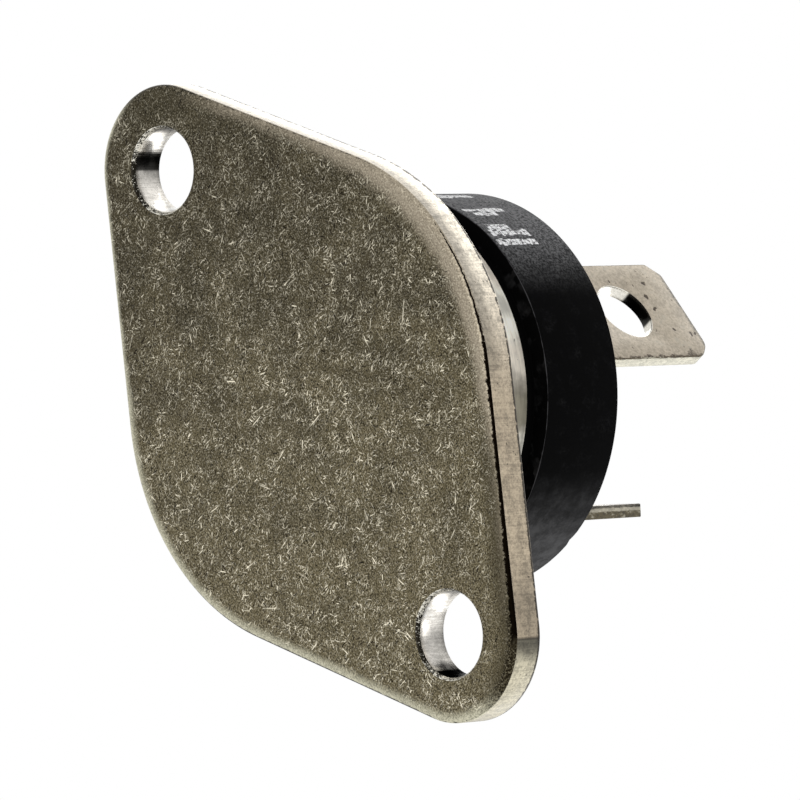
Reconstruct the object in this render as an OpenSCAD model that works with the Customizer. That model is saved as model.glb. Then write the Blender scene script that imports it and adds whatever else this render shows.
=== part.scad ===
// Flange-mounted triac: a metal base with two fixing lugs, a potted round case
// and three solder-tab terminals. Mounting face at z = 0, terminals along +Z,
// the two fixing holes on the X axis.

/* [Base] */
// Distance between the two fixing holes
hole_pitch = 30.1; // [28:0.1:33]
// Diameter of a fixing hole
hole_d = 4.25; // [3.2:0.05:5]
// Chamfer round each fixing hole on the mounting face
hole_chamfer = 0.14; // [0.05:0.01:0.3]
// Width of the flange across its middle
flange_w = 25.1; // [23:0.1:27]
// Radius of the rounded lug round each fixing hole
lug_r = 4.35; // [3.6:0.05:5.5]
// Thickness of the flange
flange_t = 1.95; // [1.2:0.05:3]
// Width of the rolled edge round the mounting face
roll_w = 0.36; // [0.1:0.02:0.6]
// Height of the rolled edge round the mounting face
roll_h = 0.22; // [0.1:0.02:0.5]
// Diameter of the round boss on the flange
boss_d = 19.3; // [18.8:0.1:21]
// Height of the boss above the flange
boss_h = 4.15; // [2:0.05:7]
// Fillet where the boss meets the flange
boss_fillet = 0.4; // [0.1:0.05:0.8]
// Chamfer on the top edge of the boss
boss_chamfer = 0.12; // [0.05:0.01:0.2]
// Height of the raised seat that carries the ceramic plate
seat_h = 0.8; // [0.4:0.05:1.2]

/* [Case] */
// How far the case stands out past the boss
case_overhang = 0.45; // [0.2:0.05:1.5]
// Height of the case wall above the groove
case_h = 5.3; // [4.5:0.1:8]
// Height of the groove between the boss and the case wall
groove_h = 0.9; // [0.4:0.05:1.5]
// How far the case foot stands in from the edge of the boss
foot_inset = 0.45; // [0.25:0.05:0.6]
// Wall of the case foot
foot_wall = 0.6; // [0.4:0.05:0.8]
// Chamfer on the case edges
case_chamfer = 0.15; // [0.05:0.01:0.4]
// Depth of the potting surface below the case rim
resin_drop = 0.6; // [0.2:0.05:1]
// Radial gap between the case bore and the raised seat
seat_gap = 0.2; // [0.1:0.05:0.4]
// Thickness of the adhesive under the case
glue_t = 0.1; // [0.05:0.01:0.2]
// How far the adhesive stays back from the edges of the case foot
glue_inset = 0.08; // [0.02:0.01:0.15]

/* [Main terminals] */
// Distance over the outer faces of the two main tabs
tab_span = 12.26; // [11.2:0.02:13.4]
// Width of a main tab
tab_w = 6.2; // [4.8:0.1:7]
// Thickness of a main tab
tab_t = 0.7; // [0.5:0.05:0.9]
// Length of a main tab above the case rim
tab_out = 11.2; // [9:0.1:14]
// Corner chamfer at the tip of a main tab
tab_corner = 0.75; // [0.2:0.05:2]
// Diameter of the hole in a main tab
tab_hole_d = 3.36; // [2.6:0.02:4]
// Distance from the tip of a main tab to its hole
tab_hole_in = 4.58; // [3.2:0.02:6]
// Width of the narrow neck and foot of a main tab
neck_w = 3; // [2:0.1:4.2]
// Bend radius inside each terminal foot
bend_r = 0.3; // [0.15:0.05:0.4]

/* [Gate terminal] */
// Angle of the gate tab round the case from the X axis
gate_angle = 38; // [34:0.5:43]
// Distance from the bore of the case to the outer face of the gate tab
gate_inset = 1.73; // [1.65:0.01:2.2]
// Width of the gate tab
gate_w = 2.8; // [2.2:0.1:3.2]
// Thickness of the gate tab
gate_t = 0.7; // [0.5:0.05:0.8]
// Length of the gate tab above the case rim
gate_out = 11.3; // [7:0.1:14]
// Corner chamfer at the tip of the gate tab
gate_corner = 0.25; // [0.1:0.05:0.8]
// Diameter of the hole in the gate tab
gate_hole_d = 1.8; // [1:0.05:2]
// Distance from the tip of the gate tab to its hole
gate_hole_in = 2.5; // [1.6:0.1:4]
// Width of the narrow neck and foot of the gate tab
gate_neck_w = 1.8; // [1.2:0.1:2.2]
// Copper left on each side of the gate tab foot
gate_pad_side = 0.6; // [0.3:0.05:0.7]

/* [Ceramic and copper] */
// Thickness of the solder under the ceramic plate
base_solder_t = 0.12; // [0.05:0.01:0.3]
// Thickness of the copper under the ceramic plate
back_copper_t = 0.25; // [0.1:0.05:0.5]
// Thickness of the ceramic plate
ceramic_t = 0.63; // [0.3:0.01:1]
// Thickness of the copper pads
pad_t = 0.3; // [0.1:0.05:0.5]
// Border of the seat left round the ceramic plate
ceramic_border = 0.2; // [0.1:0.05:0.3]
// Border of the ceramic plate left round the copper
copper_border = 0.35; // [0.25:0.05:0.5]
// Gap between copper pads
pad_gap = 0.7; // [0.4:0.05:0.9]
// Copper left round each foot, clip or lead that lands on a pad
pad_lap = 0.15; // [0.05:0.01:0.25]
// Thickness of each solder joint above the pads
solder_t = 0.1; // [0.05:0.01:0.2]
// Cover of soft gel above the copper pads
gel_cover = 1.8; // [1.5:0.05:2.2]

/* [Die, clip and gate lead] */
// Side of the square silicon die
die_w = 5.6; // [5:0.1:6]
// Thickness of the silicon die
die_t = 0.35; // [0.2:0.05:0.5]
// Place of the die centre along X
die_x = -1; // [-1.3:0.1:-0.7]
// Place of the die centre along Y
die_y = -0.6; // [-1:0.1:-0.4]
// Width of the contact clip
clip_w = 2.6; // [1.6:0.1:2.8]
// Thickness of the contact clip
clip_t = 0.3; // [0.15:0.05:0.35]
// Length of the clip that lies on the die
clip_flat = 3.6; // [2.5:0.1:4]
// Length of die left free between the clip and the die edge beside its pad
clip_back = 1.2; // [0.8:0.1:1.5]
// Length of the clip that lies on its pad
clip_land = 0.9; // [0.6:0.05:1.1]
// Rise of the clip and gate lead above the die
arch_rise = 0.5; // [0.3:0.05:0.6]
// Width of the gate lead
lead_w = 0.8; // [0.5:0.05:1]
// Thickness of the gate lead
lead_t = 0.2; // [0.1:0.05:0.3]
// Length of the gate lead that lies on the die
lead_flat = 0.85; // [0.5:0.05:0.95]
// Distance from the centre to the end of the gate lead on the die
lead_reach = 2; // [1.7:0.05:2.05]
// Sideways place of the gate lead
lead_shift = 0.2; // [0:0.05:0.3]
// Gap between a landing and the terminal neck beside it
land_gap = 0.3; // [0.2:0.05:0.5]

/* [Hidden] */

$fn = 96;
roll_steps = 4; // layers in the rolled edge
over = 1; // length by which a cutter runs past the face that it cuts
tuck = 0.01; // distance by which the straight flanks end inside the round parts

// Radii, from the boss inwards and outwards
flange_r = flange_w / 2;
hole_r = hole_d / 2;
boss_r = boss_d / 2;
case_r = boss_r + case_overhang;
foot_r = boss_r - foot_inset;
bore_r = foot_r - foot_wall;
seat_r = bore_r - seat_gap;
ceramic_r = seat_r - ceramic_border;
copper_r = ceramic_r - copper_border;

// Heights, from the mounting face up
boss_z = flange_t + boss_h;
seat_z = boss_z + seat_h;
foot_z = boss_z + glue_t;
wall_z = boss_z + groove_h;
rim_z = wall_z + case_h;
resin_z = rim_z - resin_drop;
back_copper_z = seat_z + base_solder_t;
ceramic_z = back_copper_z + back_copper_t;
pad_z = ceramic_z + ceramic_t;
pad_top = pad_z + pad_t;
gel_z = pad_top + gel_cover;
die_z = pad_top + solder_t;
die_top = die_z + die_t;
clip_z = die_top + solder_t;
land_z = pad_top + solder_t;
shoulder_z = (gel_z + resin_z) / 2;
arch_z = clip_z + arch_rise;

// Places of the terminals, the landings beside them and the pad edges
tab_face = tab_span / 2;
tab_inner = tab_face - tab_t;
tab_foot = sqrt(pow(copper_r, 2) - pow(neck_w / 2, 2)) - pad_lap - tab_inner;
gate_face = bore_r - gate_inset;
gate_inner = gate_face - gate_t;
gate_foot = sqrt(pow(copper_r, 2) - pow(gate_neck_w / 2, 2)) - pad_lap - gate_inner;
clip_from = die_y + die_w / 2 - clip_back - clip_flat;
clip_end = tab_inner - land_gap;
clip_start = clip_end - clip_land;
lead_end = gate_inner - land_gap;
lead_start = lead_end - lead_flat;
split_y = clip_start - pad_lap;
gate_pad_in = lead_start - pad_lap;
gate_pad_half = gate_neck_w / 2 + gate_pad_side;

// Angle from the X axis at which the straight flanks touch the round parts
flank_a = acos((flange_r - lug_r) / (hole_pitch / 2));

// Outward direction of the flank on the +X +Y side
flank_out = [cos(flank_a), sin(flank_a)];

function unit(v) = v / norm(v);
function left(v) = [-v[1], v[0]];

// Offset direction of a path at point i, mitred so that the strip keeps its thickness
function mitre(p, i) =
    let (last = len(p) - 1,
         a = left(unit(p[min(i + 1, last)] - p[min(i, last - 1)])),
         b = left(unit(p[max(i, 1)] - p[max(i - 1, 0)])))
    (a + b) / (1 + a * b);

// Flange outline drawn in by d: three round parts joined by straight flanks, which end just inside the round parts
module outline(d) {
    near = (flange_r - d - tuck) * flank_out;
    far = [hole_pitch / 2, 0] + (lug_r - d - tuck) * flank_out;
    circle(r = flange_r - d);
    for (s = [-1, 1])
        translate([s * hole_pitch / 2, 0]) circle(r = lug_r - d);
    polygon([near, far, [far[0], -far[1]], [near[0], -near[1]],
             -near, -far, [-far[0], far[1]], [-near[0], near[1]]]);
}

// Flange plate: the upper layer is straight, the lowest ones step in along the rolled edge
module flange_plate() {
    translate([0, 0, roll_h]) linear_extrude(flange_t - roll_h) outline(0);
    for (k = [0 : roll_steps - 1])
        translate([0, 0, roll_h * (1 - cos(90 * k / roll_steps))])
            linear_extrude(flange_t / 2)
            outline(roll_w * (1 - sin(90 * (k + 0.5) / roll_steps)));
}

// Concave fillet ring where the boss stands on the flange
module boss_fillet_ring() {
    translate([0, 0, flange_t])
        rotate_extrude()
        difference() {
            translate([boss_r - boss_fillet, 0]) square([2 * boss_fillet, boss_fillet]);
            translate([boss_r + boss_fillet, boss_fillet]) circle(r = boss_fillet);
        }
}

module base() {
    color("#b3aa96")
    difference() {
        union() {
            flange_plate();
            cylinder(r = boss_r, h = boss_z - boss_chamfer);
            translate([0, 0, boss_z - boss_chamfer])
                cylinder(r1 = boss_r, r2 = boss_r - boss_chamfer, h = boss_chamfer);
            cylinder(r = seat_r, h = seat_z);
            boss_fillet_ring();
        }
        for (s = [-1, 1]) translate([s * hole_pitch / 2, 0, 0]) {
            translate([0, 0, -over]) cylinder(r = hole_r, h = flange_t + 2 * over);
            translate([0, 0, -hole_chamfer])
                cylinder(r1 = hole_r + 2 * hole_chamfer, r2 = hole_r, h = 2 * hole_chamfer);
        }
    }
}

// Flat ring between two radii
module ring(r_out, r_in, z, h) {
    translate([0, 0, z]) difference() {
        cylinder(r = r_out, h = h);
        translate([0, 0, -over]) cylinder(r = r_in, h = h + 2 * over);
    }
}

module case_adhesive() {
    color("#4a4640") ring(foot_r - glue_inset, bore_r + glue_inset, boss_z, glue_t);
}

module case_ring() {
    color("#17181a")
    difference() {
        rotate_extrude() polygon([
            [0, foot_z], [foot_r, foot_z], [foot_r, wall_z],
            [case_r - case_chamfer, wall_z], [case_r, wall_z + case_chamfer],
            [case_r, rim_z - case_chamfer], [case_r - case_chamfer, rim_z], [0, rim_z]]);
        translate([0, 0, foot_z - over]) cylinder(r = bore_r, h = rim_z - foot_z + 2 * over);
    }
}

module potting_resin() {
    color("#222326")
    difference() {
        translate([0, 0, gel_z]) cylinder(r = bore_r, h = resin_z - gel_z);
        for (side = [1, 2]) main_terminal(side);
        gate_terminal();
    }
}

module soft_gel() {
    color([0.8, 0.85, 0.9, 0.5])
    difference() {
        translate([0, 0, foot_z]) cylinder(r = bore_r, h = gel_z - foot_z);
        translate([0, 0, foot_z - over]) cylinder(r = seat_r, h = seat_h - glue_t + over);
        base_solder();
        back_copper();
        ceramic_plate();
        for (side = [1, 2]) {
            main_pad(side);
            main_foot_solder(side);
            main_terminal(side);
        }
        gate_pad();
        gate_foot_solder();
        gate_terminal();
        die_solder();
        silicon_die();
        clip_die_solder();
        clip_pad_solder();
        contact_clip();
        lead_die_solder();
        lead_pad_solder();
        gate_lead();
    }
}

module disc(r, z, h) {
    translate([0, 0, z]) cylinder(r = r, h = h);
}

module base_solder() {
    color("#c9ccd0") disc(copper_r, seat_z, base_solder_t);
}

module back_copper() {
    color("#c87a4c") disc(copper_r, back_copper_z, back_copper_t);
}

module ceramic_plate() {
    color("#f1efe9") disc(ceramic_r, ceramic_z, ceramic_t);
}

// Band that the gate pad takes out of the copper, widened by g
module gate_band(g) {
    rotate([0, 0, gate_angle])
        translate([gate_pad_in - g, -gate_pad_half - g])
        square([copper_r + over, 2 * (gate_pad_half + g)]);
}

// Copper pad under main terminal 1 (+Y side) or 2 (the rest, which carries the die)
module main_pad(side) {
    low = side == 1 ? split_y : -copper_r - over;
    high = side == 1 ? copper_r + over : split_y - pad_gap;
    color("#c87a4c")
    translate([0, 0, pad_z])
        linear_extrude(pad_t)
        difference() {
            intersection() {
                circle(r = copper_r);
                translate([-copper_r, low]) square([2 * copper_r, high - low]);
            }
            gate_band(pad_gap);
        }
}

module main_pad_1() { main_pad(1); }
module main_pad_2() { main_pad(2); }

module gate_pad() {
    color("#c87a4c")
    translate([0, 0, pad_z])
        linear_extrude(pad_t)
        intersection() {
            circle(r = copper_r);
            gate_band(0);
        }
}

// Flat rectangle of solder or silicon from corner [x, y] with size [w, d]
module slab(corner, size, z, h) {
    translate([corner[0], corner[1], z]) cube([size[0], size[1], h]);
}

module die_solder() {
    color("#c9ccd0")
        slab([die_x - die_w / 2, die_y - die_w / 2], [die_w, die_w], pad_top, solder_t);
}

module silicon_die() {
    color("#5b6068")
        slab([die_x - die_w / 2, die_y - die_w / 2], [die_w, die_w], die_z, die_t);
}

// Flat strip with the given side profile [run, z], centred on the X axis
module strip(path, w, t) {
    last = len(path) - 1;
    translate([0, w / 2, 0])
        rotate([90, 0, 0])
        linear_extrude(w)
        polygon(concat(path, [for (i = [last : -1 : 0]) path[i] + t * mitre(path, i)]));
}

// Arched path from the die at z = clip_z to a pad at z = land_z
function arch(start, leave, land, end, t) = [
    [start, clip_z],
    [leave, clip_z],
    [leave + arch_rise, arch_z],
    [land - (arch_z - land_z) / 2, arch_z],
    [land, land_z],
    [end, land_z]
];

module clip_place() {
    translate([die_x, 0, 0]) rotate([0, 0, 90]) children();
}

module contact_clip() {
    color("#c87a4c")
        clip_place()
        strip(arch(clip_from, clip_from + clip_flat, clip_start, clip_end, clip_t), clip_w, clip_t);
}

module clip_die_solder() {
    color("#c9ccd0")
        clip_place() slab([clip_from, -clip_w / 2], [clip_flat, clip_w], die_top, solder_t);
}

module clip_pad_solder() {
    color("#c9ccd0")
        clip_place() slab([clip_start, -clip_w / 2], [clip_land, clip_w], pad_top, solder_t);
}

module lead_place() {
    rotate([0, 0, gate_angle]) translate([0, lead_shift, 0]) children();
}

module gate_lead() {
    color("#c87a4c")
        lead_place()
        strip(arch(lead_reach - lead_flat, lead_reach, lead_start, lead_end, lead_t), lead_w, lead_t);
}

module lead_die_solder() {
    color("#c9ccd0")
        lead_place()
        slab([lead_reach - lead_flat, -lead_w / 2], [lead_flat, lead_w], die_top, solder_t);
}

module lead_pad_solder() {
    color("#c9ccd0")
        lead_place() slab([lead_start, -lead_w / 2], [lead_flat, lead_w], pad_top, solder_t);
}

// L-shaped side profile of a terminal foot: foot along x, leg up y
module foot_profile(t, foot, rise) {
    bend = t + bend_r;
    translate([bend, 0]) square([foot - bend, t]);
    translate([0, bend]) square([t, rise - bend]);
    intersection() {
        square(bend);
        translate([bend, bend]) difference() {
            circle(r = bend);
            circle(r = bend_r);
        }
    }
}

// Solder-tab terminal: its foot lies on a pad, its leg rises from x = 0 and widens
// above the gel, and its blade ends in a chamfered tip with a hole
module terminal(w, neck, t, foot, tip_z, corner, drill_d, drill_in) {
    half = w / 2;
    difference() {
        union() {
            translate([0, neck / 2, land_z])
                rotate([90, 0, 0])
                linear_extrude(neck)
                foot_profile(t, foot, shoulder_z - land_z);
            rotate([90, 0, 90])
                linear_extrude(t)
                polygon([
                    [-half, shoulder_z], [half, shoulder_z],
                    [half, tip_z - corner], [half - corner, tip_z],
                    [corner - half, tip_z], [-half, tip_z - corner]]);
        }
        translate([-over, 0, tip_z - drill_in])
            rotate([0, 90, 0])
            cylinder(r = drill_d / 2, h = t + 2 * over);
    }
}

// Main terminal 1 stands on the +Y side, main terminal 2 on the -Y side
module main_place(side) {
    rotate([0, 0, side == 1 ? 90 : -90]) translate([tab_inner, 0, 0]) children();
}

module main_terminal(side) {
    color("#cfc8bb")
        main_place(side)
        terminal(tab_w, neck_w, tab_t, tab_foot, rim_z + tab_out, tab_corner,
                 tab_hole_d, tab_hole_in);
}

module main_terminal_1() { main_terminal(1); }
module main_terminal_2() { main_terminal(2); }

module main_foot_solder(side) {
    color("#c9ccd0")
        main_place(side)
        slab([tab_t + bend_r, -neck_w / 2], [tab_foot - tab_t - bend_r, neck_w], pad_top, solder_t);
}

module main_foot_solder_1() { main_foot_solder(1); }
module main_foot_solder_2() { main_foot_solder(2); }

module gate_place() {
    rotate([0, 0, gate_angle]) translate([gate_inner, 0, 0]) children();
}

module gate_terminal() {
    color("#a8a493")
        gate_place()
        terminal(gate_w, gate_neck_w, gate_t, gate_foot, rim_z + gate_out, gate_corner,
                 gate_hole_d, gate_hole_in);
}

module gate_foot_solder() {
    color("#c9ccd0")
        gate_place()
        slab([gate_t + bend_r, -gate_neck_w / 2], [gate_foot - gate_t - bend_r, gate_neck_w],
             pad_top, solder_t);
}

base();
case_adhesive();
case_ring();
potting_resin();
soft_gel();
base_solder();
back_copper();
ceramic_plate();
main_pad_1();
main_pad_2();
gate_pad();
die_solder();
silicon_die();
clip_die_solder();
clip_pad_solder();
contact_clip();
lead_die_solder();
lead_pad_solder();
gate_lead();
main_foot_solder_1();
main_foot_solder_2();
gate_foot_solder();
main_terminal_1();
main_terminal_2();
gate_terminal();
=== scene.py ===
"""Scene of a flange-mounted triac: a metal base, a potted case and three solder-tab terminals."""

import logging
import math
from dataclasses import dataclass, replace
from enum import Enum
from itertools import product
from typing import Any, Callable, ClassVar, Iterable, NamedTuple, Optional, Sequence, Union

import bmesh
import bpy
from mathutils import Matrix, Vector


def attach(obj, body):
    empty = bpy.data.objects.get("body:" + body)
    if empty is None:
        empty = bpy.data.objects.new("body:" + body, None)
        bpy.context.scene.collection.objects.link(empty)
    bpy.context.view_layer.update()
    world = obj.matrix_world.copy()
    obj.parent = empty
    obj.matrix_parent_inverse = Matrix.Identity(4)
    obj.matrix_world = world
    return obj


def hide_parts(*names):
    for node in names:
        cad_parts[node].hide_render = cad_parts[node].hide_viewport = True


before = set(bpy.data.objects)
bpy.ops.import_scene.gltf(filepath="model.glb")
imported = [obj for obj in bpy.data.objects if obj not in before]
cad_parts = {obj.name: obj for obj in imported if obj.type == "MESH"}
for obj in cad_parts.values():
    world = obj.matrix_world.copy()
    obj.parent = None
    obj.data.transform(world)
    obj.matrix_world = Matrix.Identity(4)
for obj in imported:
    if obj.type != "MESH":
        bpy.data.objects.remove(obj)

LOG = logging.getLogger("triac")
MM = 0.001
FULL_TURN = 2 * math.pi
HOLE_X = 15.05  # distance of each fixing hole from the middle, in mm
WHITE = (1.0, 1.0, 1.0)
Colour = tuple[float, float, float]
Point = tuple[float, float]
Place = tuple[float, float, float]
Loop = list[bmesh.types.BMVert]
Value = Union["Signal", float, Colour]
Inputs = dict[Union[str, int], Any]


# --------------------------------------------------------------------------- node trees


class Ease(NamedTuple):
    """A smooth change of a value: first up to low, last from high on."""

    low: float
    high: float
    first: float = 0.0
    last: float = 1.0


class Signal:
    """One node's output. Arithmetic on it adds Math nodes, and | takes the larger of two masks."""

    def __init__(self, graph: "Graph", socket: bpy.types.NodeSocket) -> None:
        """Keeps the output and the graph that it belongs to."""
        self.graph = graph
        self.socket = socket

    def __add__(self, other: Value) -> "Signal":
        """The sum."""
        return self.graph.math("ADD", self, other)

    def __sub__(self, other: Value) -> "Signal":
        """The difference."""
        return self.graph.math("SUBTRACT", self, other)

    def __mul__(self, other: Value) -> "Signal":
        """The product."""
        return self.graph.math("MULTIPLY", self, other)

    def __truediv__(self, other: Value) -> "Signal":
        """The quotient."""
        return self.graph.math("DIVIDE", self, other)

    def __rtruediv__(self, other: Value) -> "Signal":
        """A plain number over this value."""
        return self.graph.math("DIVIDE", other, self)

    def __pow__(self, other: Value) -> "Signal":
        """The power."""
        return self.graph.math("POWER", self, other)

    def __or__(self, other: Value) -> "Signal":
        """The larger of two masks."""
        return self.graph.math("MAXIMUM", self, other)

    def __abs__(self) -> "Signal":
        """The size without its sign."""
        return self.graph.math("ABSOLUTE", self)

    def below(self, limit: Value) -> "Signal":
        """1 where the value is less than the limit, else 0."""
        return self.graph.math("LESS_THAN", self, limit)

    def step(self, low: Value, high: Value, first: float = 0.0, last: float = 1.0) -> "Signal":
        """Maps the value smoothly.

        Args:
            low: The value where the change starts.
            high: The value where the change ends.
            first: The result at and below low.
            last: The result at and above high.

        Returns:
            The mapped value.
        """
        return self.graph.read("ShaderNodeMapRange", "Result", {
            "Value": self, "From Min": low, "From Max": high, "To Min": first, "To Max": last},
            interpolation_type="SMOOTHSTEP", clamp=True)

    def fade(self, low: Value, high: Value) -> "Signal":
        """1 up to low, falling smoothly to 0 at high."""
        return self.step(low, high, 1.0, 0.0)

    def blend(self, first: Value, second: Value) -> "Signal":
        """Mixes two colours, with this value as the share of the second.

        Args:
            first: The colour where this value is 0.
            second: The colour where it is 1.

        Returns:
            The mixed colour.
        """
        made = self.graph.node("ShaderNodeMix", data_type="RGBA", clamp_factor=True)
        for key, value in (("Factor", self), (6, first), (7, second)):
            self.graph.feed(made.inputs[key], value)
        return Signal(self.graph, made.outputs[2])

    def tint(self, colour: Value) -> "Signal":
        """A colour made lighter or darker by this value."""
        return self.graph.read("ShaderNodeVectorMath", 0, {0: colour, "Scale": self},
                               operation="SCALE")

    def ramp(self, stops: Sequence[Point]) -> "Signal":
        """Reads a grey tone off a list of stops.

        Args:
            stops: Each stop's place in degrees, for which this value is a share of a full turn,
                and its tone.

        Returns:
            The tone.
        """
        made = self.graph.node("ShaderNodeValToRGB", {"Fac": self})
        points = made.color_ramp.elements
        for index, (degrees, tone) in enumerate(stops):
            point = points[index] if index < 2 else points.new(degrees / 360)
            point.position = degrees / 360
            point.color = (tone, tone, tone, 1.0)
        return Signal(self.graph, made.outputs["Color"])

    def noise(self, scale: Value, detail: float = 3.0, roughness: float = 0.55) -> "Signal":
        """Noise at this vector, about 0.5 on average.

        Args:
            scale: Size of the pattern, as waves per mm.
            detail: Number of finer layers.
            roughness: Strength of the finer layers.

        Returns:
            The noise's value.
        """
        return self.graph.read("ShaderNodeTexNoise", 0, {
            "Vector": self, "Scale": scale, "Detail": detail, "Roughness": roughness})

    def stretch(self, factors: Place) -> "Signal":
        """This vector with its three parts scaled by fixed factors."""
        return self.graph.vector("MULTIPLY", self, factors)

    def parts(self) -> list["Signal"]:
        """The X, Y and Z of this vector."""
        return list(self.graph.outputs("ShaderNodeSeparateXYZ", {"Vector": self}).values())

    def effect(self, name: str, **inputs: Value) -> dict[str, "Signal"]:
        """Places a shared effect at this vector.

        Args:
            name: The effect's name.
            inputs: The effect's other inputs, by their names in lower case.

        Returns:
            The effect's outputs by name.
        """
        given = {key.capitalize(): value for key, value in inputs.items()}
        return self.graph.outputs("ShaderNodeGroup", {"Vector": self, **given},
                                  node_tree=bpy.data.node_groups[name])


class Graph:
    """Adds and joins the nodes of one tree."""

    def __init__(self, tree: bpy.types.NodeTree) -> None:
        """Keeps the tree that the nodes go into."""
        self.tree = tree

    def node(self, kind: str, inputs: Optional[Inputs] = None,
             **settings: Any) -> bpy.types.Node:
        """Adds a node.

        Args:
            kind: Blender's name of the node type.
            inputs: Socket name or number to a value or to another node's output.
            settings: Properties of the node itself.

        Returns:
            The new node.
        """
        made = self.tree.nodes.new(kind)
        for name, value in settings.items():
            setattr(made, name, value)
        for name, value in (inputs or {}).items():
            self.feed(made.inputs[name], value)
        return made

    def feed(self, socket: bpy.types.NodeSocket, value: Any) -> None:
        """Links an output to a socket, or sets the socket's own value.

        Args:
            socket: The input to feed.
            value: A signal, a number, a vector, a colour or a material.
        """
        if isinstance(value, Signal):
            self.tree.links.new(value.socket, socket)
        elif socket.type == "RGBA":
            socket.default_value = (*value, 1.0)
        else:
            socket.default_value = value

    def outputs(self, kind: str, inputs: Optional[Inputs] = None,
                **settings: Any) -> dict[str, Signal]:
        """Adds a node as node() does, and returns its outputs by name."""
        made = self.node(kind, inputs, **settings)
        return {socket.name: Signal(self, socket) for socket in made.outputs if socket.name}

    def read(self, kind: str, output: Union[str, int], inputs: Optional[Inputs] = None,
             **settings: Any) -> Signal:
        """Adds a node as node() does, and returns the output of a name or number."""
        return Signal(self, self.node(kind, inputs, **settings).outputs[output])

    def math(self, operation: str, *values: Value, clamp: bool = False) -> Signal:
        """Adds a Math node on one or two values and returns its result."""
        return self.read("ShaderNodeMath", 0, dict(enumerate(values)), operation=operation,
                         use_clamp=clamp)

    def vector(self, operation: str, *values: Value) -> Signal:
        """Adds a Vector Math node and returns its vector."""
        return self.read("ShaderNodeVectorMath", 0, dict(enumerate(values)), operation=operation)

    def joined(self, x: Value, y: Value, z: Value) -> Signal:
        """Makes a vector of three values."""
        return self.read("ShaderNodeCombineXYZ", 0, {"X": x, "Y": y, "Z": z})

    @classmethod
    def emptied(cls, owner: Union[bpy.types.Material, bpy.types.World]) -> "Graph":
        """Gives a material or world an empty tree.

        Args:
            owner: The material or world.

        Returns:
            The graph of its tree.
        """
        owner.use_nodes = True
        owner.node_tree.nodes.clear()
        return cls(owner.node_tree)


@dataclass
class EffectGroup:
    """One shared shader effect, built as a node group with named inputs and outputs."""

    name: str
    inputs: dict[str, Optional[float]]
    outputs: Sequence[str]
    body: Callable[[dict[str, Signal]], dict[str, Signal]]

    def build(self) -> None:
        """Makes the node group. An input whose default is None is a vector."""
        tree = bpy.data.node_groups.new(self.name, "ShaderNodeTree")
        for key, default in self.inputs.items():
            kind = "NodeSocketVector" if default is None else "NodeSocketFloat"
            socket = tree.interface.new_socket(key, in_out="INPUT", socket_type=kind)
            if default is not None:
                socket.default_value = default
        for key in self.outputs:
            tree.interface.new_socket(key, in_out="OUTPUT", socket_type="NodeSocketFloat")
        graph = Graph(tree)
        graph.node("NodeGroupOutput", self.body(graph.outputs("NodeGroupInput")))


def scratch_body(given: dict[str, Signal]) -> dict[str, Signal]:
    """Short straight strokes on the XY plane of the vector, whose direction drifts slowly.

    Args:
        given: Vector in mm, Cell, Length and Width in mm, Share of cells used, Drift of the
            direction per mm, Spread in radians, and Seed.

    Returns:
        Stroke, the mask, and Shade, a random value for each stroke.
    """
    graph, seed = given["Vector"].graph, given["Seed"]
    shifted = graph.vector("ADD", given["Vector"], graph.joined(seed, seed, 0.0))
    cells = graph.outputs("ShaderNodeTexVoronoi", {
        "Vector": shifted, "Scale": 1.0 / given["Cell"], "Randomness": 1.0},
        voronoi_dimensions="2D", feature="F1")
    dice = list(graph.outputs("ShaderNodeSeparateColor", {"Color": cells["Color"]}).values())
    across, along, _ = graph.vector("SUBTRACT", shifted, cells["Position"]).parts()
    lay = cells["Position"].noise(given["Drift"], detail=1.0)
    angle = dice[0] * given["Spread"] + lay * FULL_TURN
    cosine, sine = graph.math("COSINE", angle), graph.math("SINE", angle)
    half = given["Length"] * (dice[2] * 0.35 + 0.2)
    thin = given["Width"] * (dice[2] * 0.7 + 0.4)
    faded = abs(across * cosine + along * sine).fade(half * 0.4, half)
    line = abs(along * cosine - across * sine).fade(thin * 0.3, thin)
    return {"Stroke": faded * line * dice[1].below(given["Share"]),
            "Shade": graph.math("FRACT", (dice[0] + dice[1]) * 7.3)}


def striation_body(given: dict[str, Signal]) -> dict[str, Signal]:
    """Fine drawn lines along Z, as a sheared or broached wall has.

    Args:
        given: Vector in mm, Pitch of the lines in mm and their Stretch.

    Returns:
        Line, about 0.5 on average, and Deep, a mask of the few deep lines.
    """
    x, y, z = given["Vector"].parts()
    drawn = x.graph.joined(x, y, z / given["Stretch"])
    fine = drawn.noise(1.0 / given["Pitch"], detail=3.0, roughness=0.7)
    coarse = drawn.noise(0.23 / given["Pitch"], detail=2.0, roughness=0.5)
    return {"Line": fine * 0.6 + coarse * 0.4, "Deep": fine.step(0.62, 0.74)}


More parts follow.
